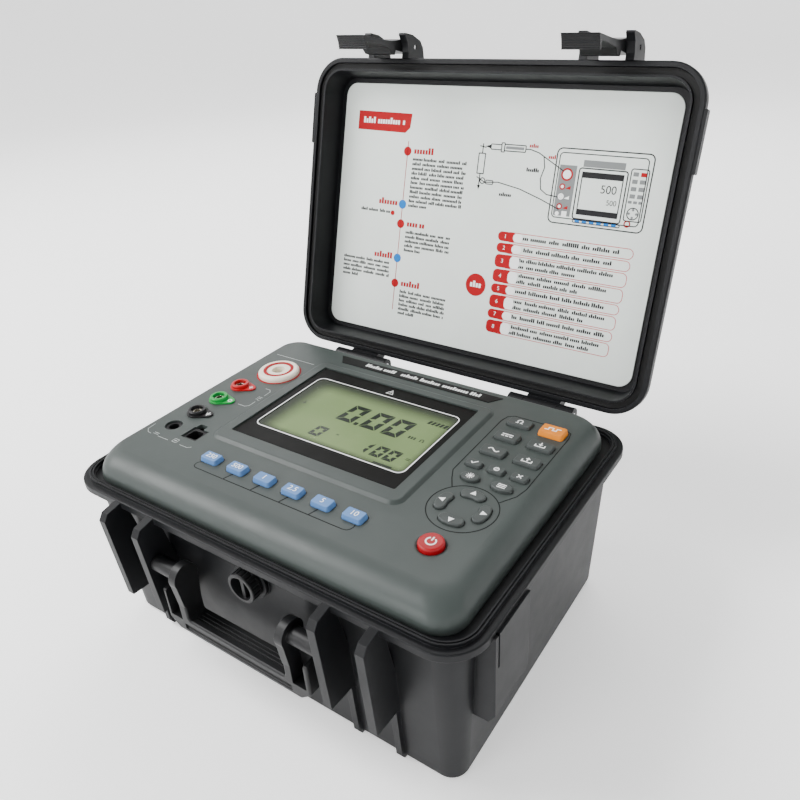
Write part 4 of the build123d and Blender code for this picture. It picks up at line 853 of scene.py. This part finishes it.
for sheet, name, material, lift in (
    (plate_shade, "plate_shade", INK_SHADE, 0.0), (plate_line, "plate_drawing", INK_TEXT, 0.02),
    (plate_pink, "plate_pink", INK_PINK, 0.0), (plate_red, "plate_red", RED_INK_AND_REFLECTION, 0.01),
    (plate_blue, "plate_blue", INK_BLUE, 0.03), (plate_text, "plate_text", INK_TEXT, 0.04),
    (plate_white, "plate_white_marks", INK_WHITE, 0.05),
):
    sheet.build(name, ON_PLATE, material, "lid", "plate_print", thick=PRINT_T + lift * MM)


# =============================================================================================
# Studio: pale floor, soft lights, camera at the photograph's angle
# =============================================================================================
def add_floor():
    """A round floor that curves up into a wall on every side."""
    bm = bmesh.new()
    radius, rise, bend, around = 3.4, 3.0, 1.2, 64
    profile = [(1.0, 0.0), (radius - bend, 0.0)]
    profile += [(radius - bend + bend * math.sin(math.radians(a)), bend - bend * math.cos(math.radians(a)))
                for a in range(15, 91, 15)]
    profile.append((radius, rise))
    turns = [2 * math.pi * i / around for i in range(around)]
    rings = [[bm.verts.new((r * math.cos(a), r * math.sin(a), z)) for a in turns] for r, z in profile]
    bm.faces.new(rings[0])
    for inner, outer in zip(rings, rings[1:]):
        for i in range(around):
            j = (i + 1) % around
            bm.faces.new((inner[i], outer[i], outer[j], inner[j]))
    mesh = bpy.data.meshes.new("studio_floor")
    bm.to_mesh(mesh)
    bm.free()
    for face in mesh.polygons:
        face.use_smooth = True
    made = bpy.data.objects.new("studio_floor", mesh)
    bpy.context.scene.collection.objects.link(made)
    paint = bpy.data.materials.new("studio_floor")
    paint.use_nodes = True
    tree = paint.node_tree
    coords = new_node(tree, "ShaderNodeTexCoord")
    cloud = noise(tree, coords, 3.0)
    shader = tree.nodes["Principled BSDF"]
    shader.inputs["Roughness"].default_value = 0.9
    shader.inputs["Emission Color"].default_value = (1.0, 1.0, 1.0, 1.0)
    shader.inputs["Emission Strength"].default_value = 0.50
    tone = mix_colour(tree, cloud.outputs["Fac"], (0.90, 0.90, 0.90, 1), (0.93, 0.93, 0.93, 1))
    link(tree, tone, shader.inputs["Base Color"])
    made.data.materials.append(paint)


def add_light(name, place, target, size, energy):
    data = bpy.data.lights.new(name, "AREA")
    data.shape = "RECTANGLE"
    data.size, data.size_y = size
    data.energy = energy
    made = bpy.data.objects.new(name, data)
    bpy.context.scene.collection.objects.link(made)
    made.location = place
    made.rotation_euler = (Vector(target) - Vector(place)).to_track_quat("-Z", "Y").to_euler()


def add_world():
    world = bpy.data.worlds.new("studio")
    bpy.context.scene.world = world
    world.use_nodes = True
    background = world.node_tree.nodes["Background"]
    background.inputs["Color"].default_value = (1.0, 1.0, 1.0, 1.0)
    background.inputs["Strength"].default_value = 0.36


CAMERA_AZIMUTH, CAMERA_ELEVATION, CAMERA_ROLL = 36.12, 30.22, -3.84
CAMERA_PLACE = Vector((239.874, -276.641, 354.559)) * MM
CAMERA_LENS = 33.42


def add_camera():
    a, e, r = (math.radians(value) for value in (CAMERA_AZIMUTH, CAMERA_ELEVATION, CAMERA_ROLL))
    back = Vector((math.sin(a) * math.cos(e), -math.cos(a) * math.cos(e), math.sin(e)))
    right = Vector((math.cos(a), math.sin(a), 0))
    up = back.cross(right)
    rolled_right = right * math.cos(r) + up * math.sin(r)
    rolled_up = up * math.cos(r) - right * math.sin(r)
    data = bpy.data.cameras.new("camera")
    data.lens = CAMERA_LENS
    data.sensor_width = 36.0
    data.clip_start = 0.01
    made = bpy.data.objects.new("camera", data)
    bpy.context.scene.collection.objects.link(made)
    turn = Matrix((rolled_right, rolled_up, back)).transposed()
    made.matrix_world = Matrix.Translation(CAMERA_PLACE) @ turn.to_4x4()
    bpy.context.scene.camera = made


add_floor()
add_world()
add_light("key_light", (-1.2, -0.5, 1.5), (0, 0, 0.12), (0.9, 0.9), 52)
add_light("back_light", (-0.5, 1.3, 1.3), (0, 0, 0.10), (1.4, 0.8), 22)
add_light("front_light", (-0.6, -1.7, 0.9), (0, 0, 0.12), (0.9, 0.7), 17)
add_camera()
